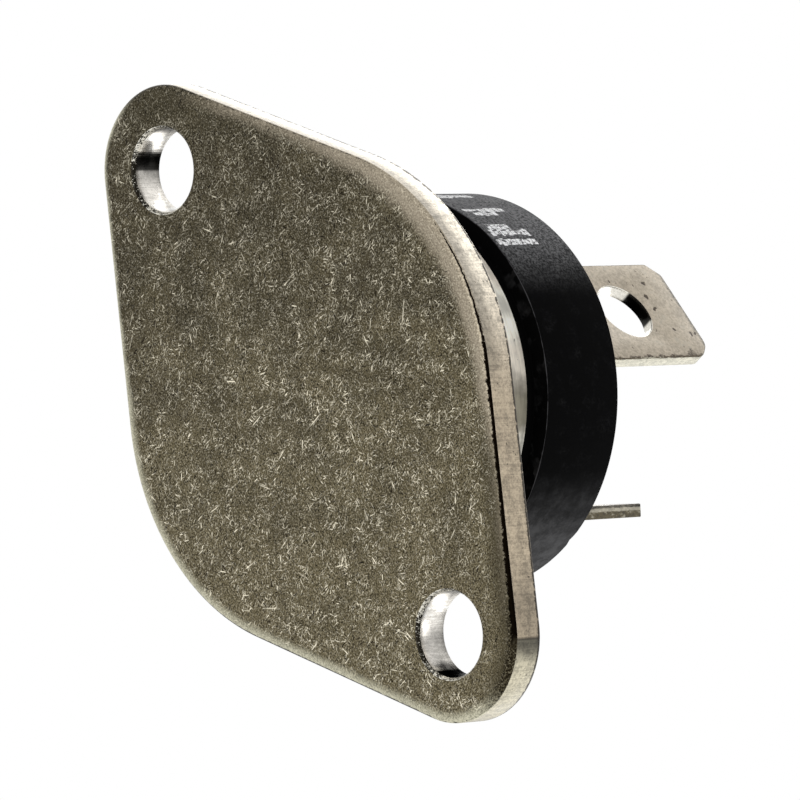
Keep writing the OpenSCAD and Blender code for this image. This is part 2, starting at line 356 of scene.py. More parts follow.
def pit_body(given: dict[str, Signal]) -> dict[str, Signal]:
    """Small round specks scattered over a surface.

    Args:
        given: Vector in mm, Cell and Radius in mm, and the Share of cells that hold a speck.

    Returns:
        Pit, the mask.
    """
    graph, cell = given["Vector"].graph, given["Cell"]
    rough = graph.read("ShaderNodeTexNoise", "Color", {
        "Vector": given["Vector"], "Scale": 1.5 / cell, "Detail": 2.0})
    push = graph.vector("MULTIPLY", graph.vector("SUBTRACT", rough, (0.5, 0.5, 0.5)),
                        graph.joined(cell, cell, cell))
    cells = graph.outputs("ShaderNodeTexVoronoi", {
        "Vector": graph.vector("ADD", given["Vector"], push), "Scale": 1.0 / cell},
        voronoi_dimensions="3D", feature="F1")
    dice = list(graph.outputs("ShaderNodeSeparateColor", {"Color": cells["Color"]}).values())
    reach = given["Radius"] * (dice[0] * 0.9 + 0.4) / cell
    return {"Pit": cells["Distance"].fade(reach * 0.7, reach) * dice[1].below(given["Share"])}


def line_body(given: dict[str, Signal]) -> dict[str, Signal]:
    """An uneven thin line round a wall at one height, such as a burr or a seam.

    Args:
        given: Vector in mm, Height, Width, Wander, Gaps (0 none, 1 all gap) and Wave, the
            length of its waves in mm.

    Returns:
        Line, the mask.
    """
    flat = given["Vector"].stretch((1.0, 1.0, 0.15))
    wave = 1.0 / given["Wave"]
    drift = flat.noise(wave, detail=4.0, roughness=0.65) - 0.5
    away = abs(given["Vector"].parts()[2] - (drift * given["Wander"] + given["Height"]))
    shifted = flat.graph.vector("ADD", flat, (7.0, 3.0, 0.0))
    present = shifted.noise(wave, detail=3.0, roughness=0.6)
    missing = given["Gaps"] * 0.5
    wide = given["Width"] * present.step(missing + 0.22, missing + 0.42)
    return {"Line": away.fade(wide * 0.35, wide + 0.004)}


EFFECTS = (
    EffectGroup("scratches", {"Vector": None, "Cell": 0.4, "Length": 0.4, "Width": 0.03,
                              "Share": 0.5, "Drift": 0.45, "Spread": 2.4, "Seed": 0.0},
                ("Stroke", "Shade"), scratch_body),
    EffectGroup("striations", {"Vector": None, "Pitch": 0.08, "Stretch": 30.0},
                ("Line", "Deep"), striation_body),
    EffectGroup("pits", {"Vector": None, "Cell": 0.3, "Radius": 0.04, "Share": 0.4},
                ("Pit",), pit_body),
    EffectGroup("edge_line", {"Vector": None, "Height": 0.2, "Width": 0.03, "Wander": 0.05,
                              "Gaps": 0.0, "Wave": 0.5}, ("Line",), line_body),
)


def turn_about(across: Signal, up: Signal) -> Signal:
    """The direction of a point about an axis, as a share of a full turn from across."""
    turn = across.graph.math("ARCTAN2", up, across) / FULL_TURN
    return across.graph.math("FRACT", turn + 1.0)


def hole_turn(place: Signal) -> Signal:
    """The direction about the nearer fixing hole's axis, as a share of a full turn from +X."""
    x, y, _ = place.parts()
    return turn_about(x - x.graph.math("SIGN", x) * HOLE_X, y)


def rim_inset(place: Signal) -> Signal:
    """How far inside its face's outline a point of the base lies, in mm."""
    return place.graph.read("ShaderNodeAttribute", "Fac", attribute_name="rim")


# --------------------------------------------------------------------------- finishes


@dataclass
class Look:
    """What varies over a finished surface; None leaves the shader's plain value."""

    colour: Value
    roughness: Optional[Signal] = None
    height: Optional[Signal] = None


@dataclass(frozen=True)
class Finish:
    """A surface finish: subclasses say how its colour, roughness and relief vary."""

    relief: ClassVar[float] = 0.3
    name: str
    colour: Colour
    metallic: float = 0.0
    roughness: float = 0.5
    specular: float = 0.5

    def material(self) -> bpy.types.Material:
        """Makes the finish's material at its first use.

        Returns:
            The material.
        """
        known = bpy.data.materials.get(self.name)
        if known:
            return known
        made = bpy.data.materials.new(self.name)
        graph = Graph.emptied(made)
        made.diffuse_color = (*self.colour, 1.0)
        place = graph.read("ShaderNodeTexCoord", "Object")
        shader = graph.node("ShaderNodeBsdfPrincipled", {
            "Metallic": self.metallic, "Roughness": self.roughness,
            "Specular IOR Level": self.specular})
        look = self.pattern(place.stretch((1 / MM,) * 3))
        graph.feed(shader.inputs["Base Color"], look.colour)
        if look.roughness is not None:
            graph.feed(shader.inputs["Roughness"], look.roughness)
        if look.height is not None:
            graph.feed(shader.inputs["Normal"], graph.read("ShaderNodeBump", 0, {
                "Height": look.height, "Strength": self.relief, "Distance": MM}))
        self.adjust(shader)
        graph.node("ShaderNodeOutputMaterial", {"Surface": Signal(graph, shader.outputs[0])})
        return made

    def adjust(self, shader: bpy.types.Node) -> None:
        """Sets further sockets of the shader."""

    def sheen(self, value: Signal, low: float, high: float) -> Signal:
        """Roughness from low under the finish's own, where the value is small, to high over it."""
        return value.step(0.3, 0.7, self.roughness - low, self.roughness + high)

    def toned(self, share: Signal, low: float, high: float) -> Signal:
        """The finish's colour, times low where the share is 0 and times high where it is 1."""
        return share.blend(shade(self.colour, low), shade(self.colour, high))

    def pattern(self, place: Signal) -> Look:
        """What varies over the surface, at object coordinates in mm."""
        raise NotImplementedError


def shade(colour: Colour, factor: float) -> Colour:
    """The colour made lighter or darker by a factor."""
    return tuple(min(part * factor, 1.0) for part in colour)


def pits(place: Signal, cell: float, radius: float, share: float) -> Signal:
    """The mask of small round specks, with the cell and radius in mm."""
    return place.effect("pits", cell=cell, radius=radius, share=share)["Pit"]


@dataclass(frozen=True)
class StrokeLayer:
    """One layer of short scratches; lengths in mm."""

    cell: float
    length: float
    width: float
    share: float
    weight: float
    seed: float

    def mask(self, place: Signal) -> Signal:
        """The layer's strokes; many are faint and few are strong.

        Args:
            place: Object coordinates in mm.

        Returns:
            The mask.
        """
        made = place.effect("scratches", cell=self.cell, length=self.length, width=self.width,
                            share=self.share, seed=self.seed)
        return made["Stroke"] * (made["Shade"] ** 1.6 * (0.92 * self.weight) + 0.1 * self.weight)


@dataclass(frozen=True)
class TumbledNickel(Finish):
    """Dull nickel with short scratches in all directions, as on a barrel-tumbled flat face.

    Along the front edge it is smoother and lighter. Painted shade darkens the crease round the
    roll and the face beside it near one lug, and a painted highlight lightens the far edge. The
    dark ground is partly a painted reflection and the bright scratches are partly painted glints.
    An Ease is a change along X or Y in mm.
    """

    relief: ClassVar[float] = 0.25
    # Painted glint: the scratches are real, but this cream colour stands for the light they catch.
    stroke: Colour = (1.0, 0.93, 0.74)
    dark: Colour = (0.006, 0.004, 0.002)
    rim_colour: Colour = (0.36, 0.31, 0.235)
    # Painted highlight along the far edge of the roll.
    far_highlight_colour: Colour = (0.62, 0.6, 0.46)
    # Scratch layers painted in the glint colour above.
    bright: tuple[StrokeLayer, ...] = (
        StrokeLayer(0.1, 0.18, 0.03, 0.5, 0.8, 0.0),
        StrokeLayer(0.17, 0.32, 0.033, 0.45, 1.1, 11.0),
        StrokeLayer(0.3, 0.5, 0.034, 0.4, 1.2, 23.0),
        StrokeLayer(0.5, 0.75, 0.035, 0.26, 1.2, 37.0),
        StrokeLayer(0.85, 1.1, 0.038, 0.2, 1.2, 41.0),
        StrokeLayer(2.1, 1.7, 0.045, 0.2, 1.1, 63.0))
    deep: tuple[StrokeLayer, ...] = (
        StrokeLayer(0.12, 0.2, 0.045, 0.7, 1.1, 57.0),
        StrokeLayer(0.33, 0.45, 0.05, 0.45, 1.1, 79.0))
    strip_reach: Ease = Ease(-12.0, -7.5, 1.65, 0.95)
    strip_end: Ease = Ease(-7.0, -2.5)
    # Eases of the painted shade in the crease round the roll.
    crease_height: float = 0.12
    crease_width: Ease = Ease(-1.5, 6.0, 0.035, 0.07)
    crease_gaps: Ease = Ease(-1.0, 3.0, 0.4, 0.0)
    crease_gaps_at_lug: Ease = Ease(16.0, 18.5, 0.0, 0.6)
    crease_reach: Ease = Ease(1.0, 7.0, 0.08, 0.42)
    crease_reach_at_lug: Ease = Ease(12.0, 16.0, 0.0, 0.1)
    crease_end: Ease = Ease(17.7, 18.7, 1.0, 0.0)
    crease_start: Ease = Ease(-1.6, -0.6)
    crease_trace: Ease = Ease(-6.5, -4.5, 0.85, 0.0)
    crease_front: Ease = Ease(-2.0, 1.5, 1.0, 0.0)
    flecks_start: Ease = Ease(15.5, 17.5)
    front_half: Ease = Ease(-1.0, 1.0, 1.0, 0.0)
    quiet_lugs: Ease = Ease(11.5, 14.0)
    shaded_end: Ease = Ease(7.0, 12.0, 0.0, 0.6)
    dimmed_end: Ease = Ease(-9.0, -3.0, 0.87, 1.0)
    far_reach: Ease = Ease(-12.0, -6.0, 0.25, 0.55)
    far_side: Ease = Ease(-1.0, 1.5)

    def inner(self, place: Signal, patch: Signal) -> Signal:
        """The area inside the light smooth strip along the front edge.

        Args:
            place: Object coordinates in mm.
            patch: Noise that makes the strip's border uneven.

        Returns:
            0 in the strip and 1 elsewhere.
        """
        y = place.parts()[1]
        strip = patch * 0.8 + rim_inset(place) - y.step(*self.strip_reach)
        return strip.step(-0.75, 0.3) | y.step(*self.strip_end)

    def crease(self, place: Signal, grain: Signal) -> Signal:
        """Painted shade in the crease round the roll: a thin line that widens towards one lug.

        Args:
            place: Object coordinates in mm.
            grain: Fine noise, for the flecks beside the crease.

        Returns:
            The mask of the painted crease shade and its dark flecks.
        """
        x, y, _ = place.parts()
        inset = rim_inset(place)
        thin = place.effect("edge_line", height=self.crease_height, wander=0.12, wave=0.3,
                            width=x.step(*self.crease_width),
                            gaps=x.step(*self.crease_gaps) + x.step(*self.crease_gaps_at_lug))
        ragged = place.noise(3.6, detail=5.0, roughness=0.85) * 0.6 + inset
        limit = x.step(*self.crease_reach) + x.step(*self.crease_reach_at_lug)
        wide = (ragged - limit).fade(-0.03, 0.03) * x.step(*self.crease_end)
        flecks = grain.step(0.5, 0.56, 0.8, 0.0) * inset.fade(0.3, 0.6)
        front = y.step(*self.crease_front) * (wide | flecks * x.step(*self.flecks_start))
        started = x.step(*self.crease_start) | x.step(*self.crease_trace)
        return started * (thin["Line"] | front)

    def edges(self, place: Signal, colour: Signal, patch: Signal, grain: Signal) -> Signal:
        """Paints shade on the front edge near one lug, a highlight along the far edge and shade in
        the crease.

        Args:
            place: Object coordinates in mm.
            colour: The colour without the edges.
            patch: Noise in patches of about 1 mm.
            grain: Fine noise.

        Returns:
            The colour with the edges.
        """
        x, y, _ = place.parts()
        inset = rim_inset(place)
        # Painted shade on the face beside the crease near the +X lug.
        shaded = inset.fade(0.5, 1.5) * x.step(*self.shaded_end) * y.step(*self.front_half)
        colour = shaded.blend(colour, shade(self.colour, 0.35))
        colour = x.step(*self.dimmed_end).tint(colour)
        # Painted highlight: a pale band along the far edge.
        far = inset.fade(0.05, patch * 0.4 + x.step(*self.far_reach))
        far = far * grain.step(0.36, 0.58, 0.5, 1.0) * y.step(*self.far_side)
        colour = far.blend(colour, self.far_highlight_colour)
        # Painted shade: the crease is darkened as if in shadow.
        return self.crease(place, grain).blend(colour, shade(self.dark, 0.35))

    def pattern(self, place: Signal) -> Look:
        """Olive ground under dark strokes and bright strokes painted as glints, the light strip,
        specks and the edges.

        Args:
            place: Object coordinates in mm.

        Returns:
            Colour, roughness and height over the surface.
        """
        x, y, _ = place.parts()
        patch = place.noise(1.1, detail=3.0, roughness=0.6)
        grain = place.noise(11.0, detail=2.0, roughness=0.7)
        inside = self.inner(place, patch)
        along = x * 0.012 + y * 0.01 + place.noise(0.3, detail=4.0, roughness=0.6)
        ground = inside.blend(self.rim_colour, self.toned(along.step(0.25, 0.75), 0.55, 1.3))
        colour = grain.step(0.36, 0.56).blend(shade(self.colour, 0.25), ground)
        colour = inside.step(0.0, 1.0, 0.4, 0.9).blend(ground, colour)
        # Painted glints: bright grain flecks here and the bright scratch layers below.
        colour = grain.step(0.54, 0.7, 0.0, 0.3).blend(colour, self.stroke)
        height = grain * 0.05
        for layer in self.deep:
            colour = (layer.mask(place) * inside).blend(colour, self.dark)
        quiet = rim_inset(place).fade(0.9, 2.2) * abs(x).step(*self.quiet_lugs)
        quiet = quiet * y.step(*self.front_half)
        busy = patch.step(0.4, 0.6, 0.12, 1.0) * inside.step(0.0, 1.0, 0.3, 1.0)
        busy = busy * along.step(0.25, 0.75, 0.7, 1.0) * quiet.step(0.0, 1.0, 1.0, 0.25)
        for layer in self.bright:
            mask = layer.mask(place) * busy
            colour = mask.blend(colour, self.stroke)
            height = mask * -0.02 + height
        colour = (pits(place, cell=0.42, radius=0.05, share=0.35) * 0.7).blend(colour, self.dark)
        colour = self.edges(place, colour, patch, grain)
        return Look(colour, self.sheen(grain, 0.08, 0.1), height)


@dataclass(frozen=True)
class DrawnNickel(Finish):
    """Bright nickel over a wall with fine lines along Z."""

    relief: ClassVar[float] = 0.2
    contrast: float = 0.38
    pitch: float = 0.07
    clouded: float = 0.3

    def striae(self, place: Signal) -> dict[str, Signal]:
        """The drawn lines of this finish."""
        return place.effect("striations", pitch=self.pitch, stretch=22.0)

    def lines(self, place: Signal, colour: Value) -> Look:
        """A striated wall.

        Args:
            place: Object coordinates in mm.
            colour: The wall's colour without its lines.

        Returns:
            Colour, roughness and height over the wall.
        """
        lines = self.striae(place)
        cloud = place.stretch((1.0, 1.0, 1.6)).noise(1.3, detail=4.0, roughness=0.7)
        grain = place.noise(7.0, detail=3.0, roughness=0.8)
        tone = lines["Line"] * (0.64 - self.clouded) + cloud * self.clouded + grain * 0.36
        factor = tone.step(0.4, 0.6, 1 - self.contrast, 1 + self.contrast)
        factor = factor * lines["Deep"].step(0.0, 1.0, 1.0, 0.55)
        return Look(factor.tint(colour), self.sheen(cloud, 0.05, 0.08), lines["Line"] * 0.03)

    def pattern(self, place: Signal) -> Look:
        """The striated wall."""
        return self.lines(place, self.colour)


@dataclass(frozen=True)
class ShearedSide(DrawnNickel):
    """Sheared side wall: painted light and shade, striated, and a dark line at its rear edge.

    An Ease is a change along X, Y or Z in mm.
    """

    lug_from: float = 17.94
    lug_colour: Colour = (0.46, 0.425, 0.32)
    # Painted light: the wall is lighter towards -X, where it faces the light.
    painted_lit_colour: Colour = (0.82, 0.75, 0.63)
    dark: Colour = (0.015, 0.011, 0.007)
    painted_lit_end: Ease = Ease(0.5, 8.5, 1.0, 0.0)
    # Darker towards the +X lug.
    darker_end: Ease = Ease(14.6, 16.4)
    front_shade: Ease = Ease(0.4, 1.4, 0.55, 1.1)
    front_shade_end: Ease = Ease(4.0, 8.0)
    # Painted light and shade across the curve of the lug's end, darker on its far side.
    lug_light: Ease = Ease(0.2, 1.15, 0.18, 1.2)
    lug_far_side: Ease = Ease(-1.8, -0.9, 1.0, 0.66)
    rear_height: Ease = Ease(-5.0, -2.0, 1.71, 1.78)
    rear_width: Ease = Ease(-5.0, -2.0, 0.2, 0.12)
    rear_gaps: Ease = Ease(-4.0, 10.0, 0.3, 0.15)

    def plain(self, place: Signal) -> Signal:
        """The colour below the lines, with painted light and shade.

        It is painted lighter towards -X, where the wall faces the light, with painted shade low in
        front; it is darker towards the +X lug, and painted lit and shaded across the lug's end.

        Args:
            place: Object coordinates in mm.

        Returns:
            The colour.
        """
        x, y, z = place.parts()
        wall = x.step(*self.painted_lit_end).blend(self.colour, self.painted_lit_colour)
        wall = x.step(*self.darker_end).blend(wall, shade(self.colour, 0.72))
        wall = (z.step(*self.front_shade) | x.step(*self.front_shade_end)).tint(wall)
        # Painted light and shade across the lug's end, as its curve turns.
        beyond = x - self.lug_from
        end = beyond.step(*self.lug_light) * y.step(*self.lug_far_side)
        return beyond.step(-0.02, 0.02).blend(wall, end.tint(self.lug_colour))

    def pattern(self, place: Signal) -> Look:
        """The striated wall with its line at the lug's end, rear edge line and pits.

        Args:
            place: Object coordinates in mm.

        Returns:
            Colour, roughness and height over the wall.
        """
        x = place.parts()[0]
        look = self.lines(place, self.plain(place))
        border = abs(x - self.lug_from).step(0.02, 0.09, 0.6, 0.0)
        rear = place.effect("edge_line", height=x.step(*self.rear_height), wander=0.16, wave=0.28,
                            width=x.step(*self.rear_width), gaps=x.step(*self.rear_gaps))
        specks = pits(place, cell=0.36, radius=0.055, share=0.4)
        for mask in (border, rear["Line"] * 0.95, specks * 0.75):
            look.colour = mask.blend(look.colour, self.dark)
        return look


@dataclass(frozen=True)
class PunchedEntry(Finish):
    """Rolled entry of a punched hole: bright flecks on one side and darker on the other."""

    dark: Colour = (0.012, 0.01, 0.006)
    scale: tuple[Point, ...] = ((50, 0.46), (85, 0.55), (100, 0.6), (138, 0.58), (152, 0.5),
                                (200, 0.46), (235, 0.54))

    def pattern(self, place: Signal) -> Look:
        """Flecks of two sizes, their share set by the direction from the hole's middle.

        Args:
            place: Object coordinates in mm.

        Returns:
            Colour and height over the entry.
        """
        coarse = place.noise(5.0, detail=4.0, roughness=0.8)
        both = coarse * 0.6 + place.noise(14.0, detail=2.0, roughness=0.7) * 0.4
        flecks = (both - hole_turn(place).ramp(self.scale)).step(-0.03, 0.05)
        return Look(flecks.blend(self.dark, self.colour), None, both * 0.12)


@dataclass(frozen=True)
class BoredWall(DrawnNickel):
    """Wall of the two fixing holes: drawn lines over sectors of painted reflection, bright to
    black.

    Each sector is a stop of degrees round the hole and its tone, for the hole at -X (low) and the
    one at +X (high). The sway is the amount by which the lines shift the sectors' borders.
    """

    # Painted reflection: bright where the wall mirrors light surroundings, black where it mirrors
    # the dark case and boss.
    low: tuple[Point, ...] = (
        (60, 1.0), (82, 0.95), (98, 0.84), (107, 0.76), (117, 0.5), (129, 0.36), (132, 0.03),
        (149, 0.01), (154, 0.08), (159, 0.5), (164, 0.95), (186, 1.0), (194, 0.9), (200, 0.5),
        (212, 0.3))
    high: tuple[Point, ...] = (
        (40, 0.003), (72, 0.006), (75, 0.55), (98, 0.64), (112, 0.58), (122, 0.38), (130, 0.5),
        (138, 0.78), (146, 0.97), (176, 1.0), (188, 0.95), (202, 0.6))
    sway: tuple[Point, ...] = ((88, 0.06), (100, 0.0), (140, 0.0), (150, 0.1))

    def adjust(self, shader: bpy.types.Node) -> None:
        """Keeps the sectors of painted dark reflection dark at a grazing angle."""
        shader.inputs["Specular Tint"].default_value = (0.35, 0.35, 0.35, 1.0)

    def pattern(self, place: Signal) -> Look:
        """The striated wall with the painted reflection sectors of its hole, their borders
        streaked.

        Args:
            place: Object coordinates in mm.

        Returns:
            Colour, roughness and height over the wall.
        """
        turn = hole_turn(place)
        turn = (self.striae(place)["Line"] - 0.5) * turn.ramp(self.sway) + turn
        side = place.parts()[0].step(-1.0, 1.0)
        tone = side.blend(turn.ramp(self.low), turn.ramp(self.high))
        return self.lines(place, tone.tint(self.colour))


@dataclass(frozen=True)
class TabHoleWall(DrawnNickel):
    """Wall of a main tab's hole with a sector of painted dark reflection on the side that faces
    the tip.
    """

    hole_z: float = 18.92
    # Painted reflection: tones round the hole, black where the wall mirrors dark surroundings.
    sectors: tuple[Point, ...] = ((40, 0.95), (66, 0.8), (71, 0.02), (120, 0.01), (133, 0.02),
                                  (137, 0.95))

    def pattern(self, place: Signal) -> Look:
        """The striated wall with the painted dark reflection sector.

        Args:
            place: Object coordinates in mm.

        Returns:
            Colour, roughness and height over the wall.
        """
        x, _, z = place.parts()
        tone = turn_about(x, z - self.hole_z).ramp(self.sectors)
        return self.lines(place, tone.tint(self.colour))


@dataclass(frozen=True)
class TurnedNickel(Finish):
    """Nickel over turned metal: fine rings round Z with some specks."""

    speck: Colour = (0.03, 0.025, 0.018)

    def plain(self, place: Signal) -> Value:
        """The colour below the rings."""
        return self.colour

    def pattern(self, place: Signal) -> Look:
        """Rings by radius and height, a cloud and specks.

        Args:
            place: Object coordinates in mm.

        Returns:
            Colour, roughness and height over the surface.
        """
        x, y, z = place.parts()
        radius = (x * x + y * y) ** 0.5
        rings = x.graph.joined(radius, x * 0.1, z).noise(6.0, detail=3.0, roughness=0.7)
        cloud = place.noise(0.6, detail=4.0, roughness=0.6)
        factor = (rings * 0.5 + cloud * 0.5).step(0.38, 0.62, 0.78, 1.15)
        colour = factor.tint(self.plain(place))
        colour = (pits(place, cell=0.5, radius=0.06, share=0.4) * 0.6).blend(colour, self.speck)
        return Look(colour, self.sheen(cloud, 0.05, 0.1), rings * 0.03)


@dataclass(frozen=True)
class StainedBoss(TurnedNickel):
    """Turned boss with a greenish stain in front, painted highlights and painted shade on its far
    side.

    An Ease is a change along X in mm.
    """

    stain: Colour = (0.26, 0.24, 0.175)
    # Painted shade on the far side, where no light falls.
    painted_far_shade: Colour = (0.07, 0.06, 0.045)
    # Painted highlight colour.
    painted_highlight: Colour = (1.0, 0.97, 0.86)
    stain_x: float = 7.4
    streak_x: float = 3.2
    highlight_start: Ease = Ease(7.6, 9.0)
    darker_end: Ease = Ease(-6.0, -3.0, 1.0, 0.0)

    def plain(self, place: Signal) -> Signal:
        """Painted highlights on the metal, the stain, and painted shade at the far side.

        Args:
            place: Object coordinates in mm.

        Returns:
            The colour below the rings.
        """
        x = place.noise(0.9, detail=4.0, roughness=0.65) * 1.6 + place.parts()[0]
        # Painted highlights: at the +X end and along a streak.
        bright = x.step(*self.highlight_start) | abs(x - self.streak_x).fade(0.8, 2.0)
        colour = bright.blend(self.colour, self.painted_highlight)
        colour = abs(x - self.stain_x).step(0.3, 1.4, 0.9, 0.0).blend(colour, self.stain)
        # Painted shade on the far side.
        return x.step(*self.darker_end).blend(colour, self.painted_far_shade)


@dataclass(frozen=True)
class TinnedSheet(Finish):
    """Tin on rolled sheet: faint cloud, fine rolling lines along Z, small pits and brown ones."""

    cloud_colour: Colour = (0.3, 0.3, 0.27)
    tip_colour: Colour = (0.06, 0.06, 0.05)
    rust: Colour = (0.035, 0.022, 0.012)
    tip_z: float = 23.5
    side_x: float = 3.1

    def pattern(self, place: Signal) -> Look:
        """Cloud, rolling lines, pits, a darker tip and a dark burr along one side.

        Args:
            place: Object coordinates in mm.

        Returns:
            Colour and height over the sheet.
        """
        x, _, z = place.parts()
        lines = place.effect("striations", pitch=0.09, stretch=6.0)["Line"]
        cloud = place.noise(1.1, detail=5.0, roughness=0.65)
        grain = place.noise(6.0, detail=4.0, roughness=0.8)
        tone = lines * 0.15 + cloud * 0.3 + grain * 0.55
        colour = self.toned(tone.step(0.38, 0.62), 0.72, 1.22)
        colour = cloud.step(0.56, 0.72, 0.0, 0.35).blend(colour, self.cloud_colour)
        tip = (cloud * 0.5 + z).step(self.tip_z - 0.05, self.tip_z + 0.12)
        colour = (tip * grain.step(0.42, 0.56, 0.9, 0.4)).blend(colour, self.tip_colour)
        burr = cloud * 1.4 + x + z.step(self.tip_z - 3.0, self.tip_z, 0.0, 0.2)
        burr = burr.step(self.side_x + 0.5, self.side_x + 0.62)
        large = pits(place, cell=0.85, radius=0.2, share=0.7)
        for mask in (burr * grain.step(0.42, 0.58, 0.95, 0.5),
                     pits(place, cell=0.36, radius=0.055, share=0.35) * 0.65, large * 0.9):
            colour = mask.blend(colour, self.rust)
        return Look(colour, None, tone * 0.04 - large * 0.05)


@dataclass(frozen=True)
class ShearedEdge(Finish):
    """Cut edge of a tinned sheet: a dark rolled band, a smooth light one, then a torn one.

    The bands lie at distances in mm from the sheet's first face, measured along across.
    """

    rolled: Colour = (0.05, 0.045, 0.035)
    torn: Colour = (0.1, 0.075, 0.045)
    across: Place = (0.0, 1.0, 0.0)
    first: float = 0.0
    rolled_to: float = 0.15
    torn_from: float = 0.6
    ragged: float = 0.5

    def pattern(self, place: Signal) -> Look:
        """The three bands.

        Args:
            place: Object coordinates in mm.

        Returns:
            Colour, roughness and height over the edge.
        """
        depth = place.graph.read("ShaderNodeVectorMath", "Value", {0: place, 1: self.across},
                                 operation="DOT_PRODUCT")
        rough = place.stretch((3.0, 3.0, 1.2)).noise(1.6, detail=5.0, roughness=0.7)
        fleck = place.stretch((1.0, 1.0, 0.6)).noise(6.0, detail=4.0, roughness=0.75)
        patch = rough * 0.5 + fleck * 0.5
        edge = depth + (rough * 0.2 - (0.1 + self.first))
        rolled = edge.fade(self.rolled_to - 0.03, self.rolled_to + 0.03)
        torn = edge.step(self.torn_from - 0.03, self.torn_from + 0.03)
        cover = patch.step(0.62 - 0.3 * self.ragged, 0.7 - 0.3 * self.ragged)
        ragged = cover.blend(self.torn, shade(self.colour, 0.85))
        ragged = fleck.step(0.38, 0.5, 0.75, 0.0).blend(ragged, self.rolled)
        colour = torn.blend(self.toned(fleck.step(0.38, 0.6), 0.7, 1.1), ragged)
        dark = patch.step(0.42, 0.62).blend(shade(self.rolled, 0.6), shade(self.rolled, 3.5))
        return Look(rolled.blend(colour, dark), torn.step(0.0, 1.0, self.roughness, 0.65),
                    fleck * torn * 0.06)


@dataclass(frozen=True)
class MouldedPlastic(Finish):
    """Matte black moulding with a faint dusty mottle and pale ends of dust and painted sheen.

    A pale line along its lower edge is mould flash with a painted edge highlight.
    """

    dust: Colour = (0.02, 0.02, 0.021)
    # Dust and painted sheen: both ends of the wall are painted paler, where grazing light catches
    # it.
    dust_and_sheen: Colour = (0.2, 0.2, 0.205)
    # Mould flash with a painted edge highlight along the lower edge.
    worn: Colour = (0.09, 0.09, 0.095)
    lower_edge: float = 7.03
    speckled_end: Ease = Ease(-9.0, -4.5, 1.0, 0.0)
    smooth_start: Ease = Ease(4.0, 9.5, 0.0, 0.55)

    def pattern(self, place: Signal) -> Look:
        """Fine grain, a sparse pale mottle, pale ends of dust and painted sheen, and the edge
        line.

        Args:
            place: Object coordinates in mm.

        Returns:
            Colour, roughness and height over the surface.
        """
        x, y, z = place.parts()
        grain = place.noise(8.0, detail=3.0, roughness=0.75)
        cloud = place.noise(1.1, detail=5.0, roughness=0.7)
        wall = z.step(self.lower_edge, self.lower_edge + 0.1)
        dusty = cloud.step(0.45, 0.75) * grain.step(0.35, 0.7)
        along = x * 0.75 + y * 0.66 + cloud
        speckled = along.step(*self.speckled_end) * grain.step(0.38, 0.64, 0.25, 1.45)
        smooth = along.step(*self.smooth_start) * (grain * 0.25 + cloud).step(0.4, 0.8, 0.3, 1.0)
        line = place.effect("edge_line", height=self.lower_edge, width=0.03, wander=0.03, gaps=0.3,
                            wave=1.2)["Line"]
        colour = self.colour
        for mask, over in ((dusty * wall * 0.5, self.dust),
                           ((speckled | smooth) * wall, self.dust_and_sheen), (line * 0.55, self.worn)):
            colour = mask.blend(colour, over)
        return Look(colour, self.sheen(cloud, 0.0, 0.15), grain * 0.02)


@dataclass(frozen=True)
class PrintedInk(Finish):
    """Thin white print, worn a little and broken up by the grain below."""

    gap: Colour = (0.03, 0.03, 0.032)

    def pattern(self, place: Signal) -> Look:
        """White with worn gaps."""
        worn = place.stretch((1.0, 1.0, 0.7)).noise(5.0, detail=5.0, roughness=0.8)
        return Look(worn.step(0.42, 0.5).blend(self.gap, self.colour), None, worn)


@dataclass(frozen=True)
class CastResin(Finish):
    """Potting resin: nearly smooth, with slow waves and a few bubbles."""

    def adjust(self, shader: bpy.types.Node) -> None:
        """Gives the resin a soft gloss."""
        shader.inputs["Coat Weight"].default_value = 0.08
        shader.inputs["Coat Roughness"].default_value = 0.2

    def pattern(self, place: Signal) -> Look:
        """Slow waves and small bubble marks.

        Args:
            place: Object coordinates in mm.

        Returns:
            Colour, roughness and height over the resin.
        """
        waves = place.noise(0.5, detail=2.0, roughness=0.4)
        return Look(self.toned(waves.step(0.3, 0.7), 0.8, 1.3), self.sheen(waves, 0.0, 0.12),
                    waves * 0.12 - pits(place, cell=1.6, radius=0.14, share=0.3) * 0.1)


@dataclass(frozen=True)
class SoftGel(Finish):
    """Clear soft gel with a slight haze."""

    def adjust(self, shader: bpy.types.Node) -> None:
        """Lets light through."""
        shader.inputs["Transmission Weight"].default_value = 0.9
        shader.inputs["IOR"].default_value = 1.41

    def pattern(self, place: Signal) -> Look:
        """A faint haze."""
        haze = place.noise(0.8, detail=3.0)
        return Look(self.toned(haze, 0.94, 1.0), self.sheen(haze, 0.0, 0.08))


@dataclass(frozen=True)
class FiredSurface(Finish):
    """Fine-grained face of ceramic, silicon, copper, solder or glue."""

    grain_size: float = 6.0
    spread: float = 0.15

    def pattern(self, place: Signal) -> Look:
        """Even grain with a slow tone.

        Args:
            place: Object coordinates in mm.

        Returns:
            Colour, roughness and height over the face.
        """
        grain = place.noise(self.grain_size, detail=5.0, roughness=0.7)
        tone = grain * 0.6 + place.noise(0.7, detail=3.0) * 0.4
        return Look(self.toned(tone.step(0.3, 0.7), 1 - self.spread, 1 + self.spread),
                    self.sheen(grain, 0.05, 0.1), grain * 0.03)


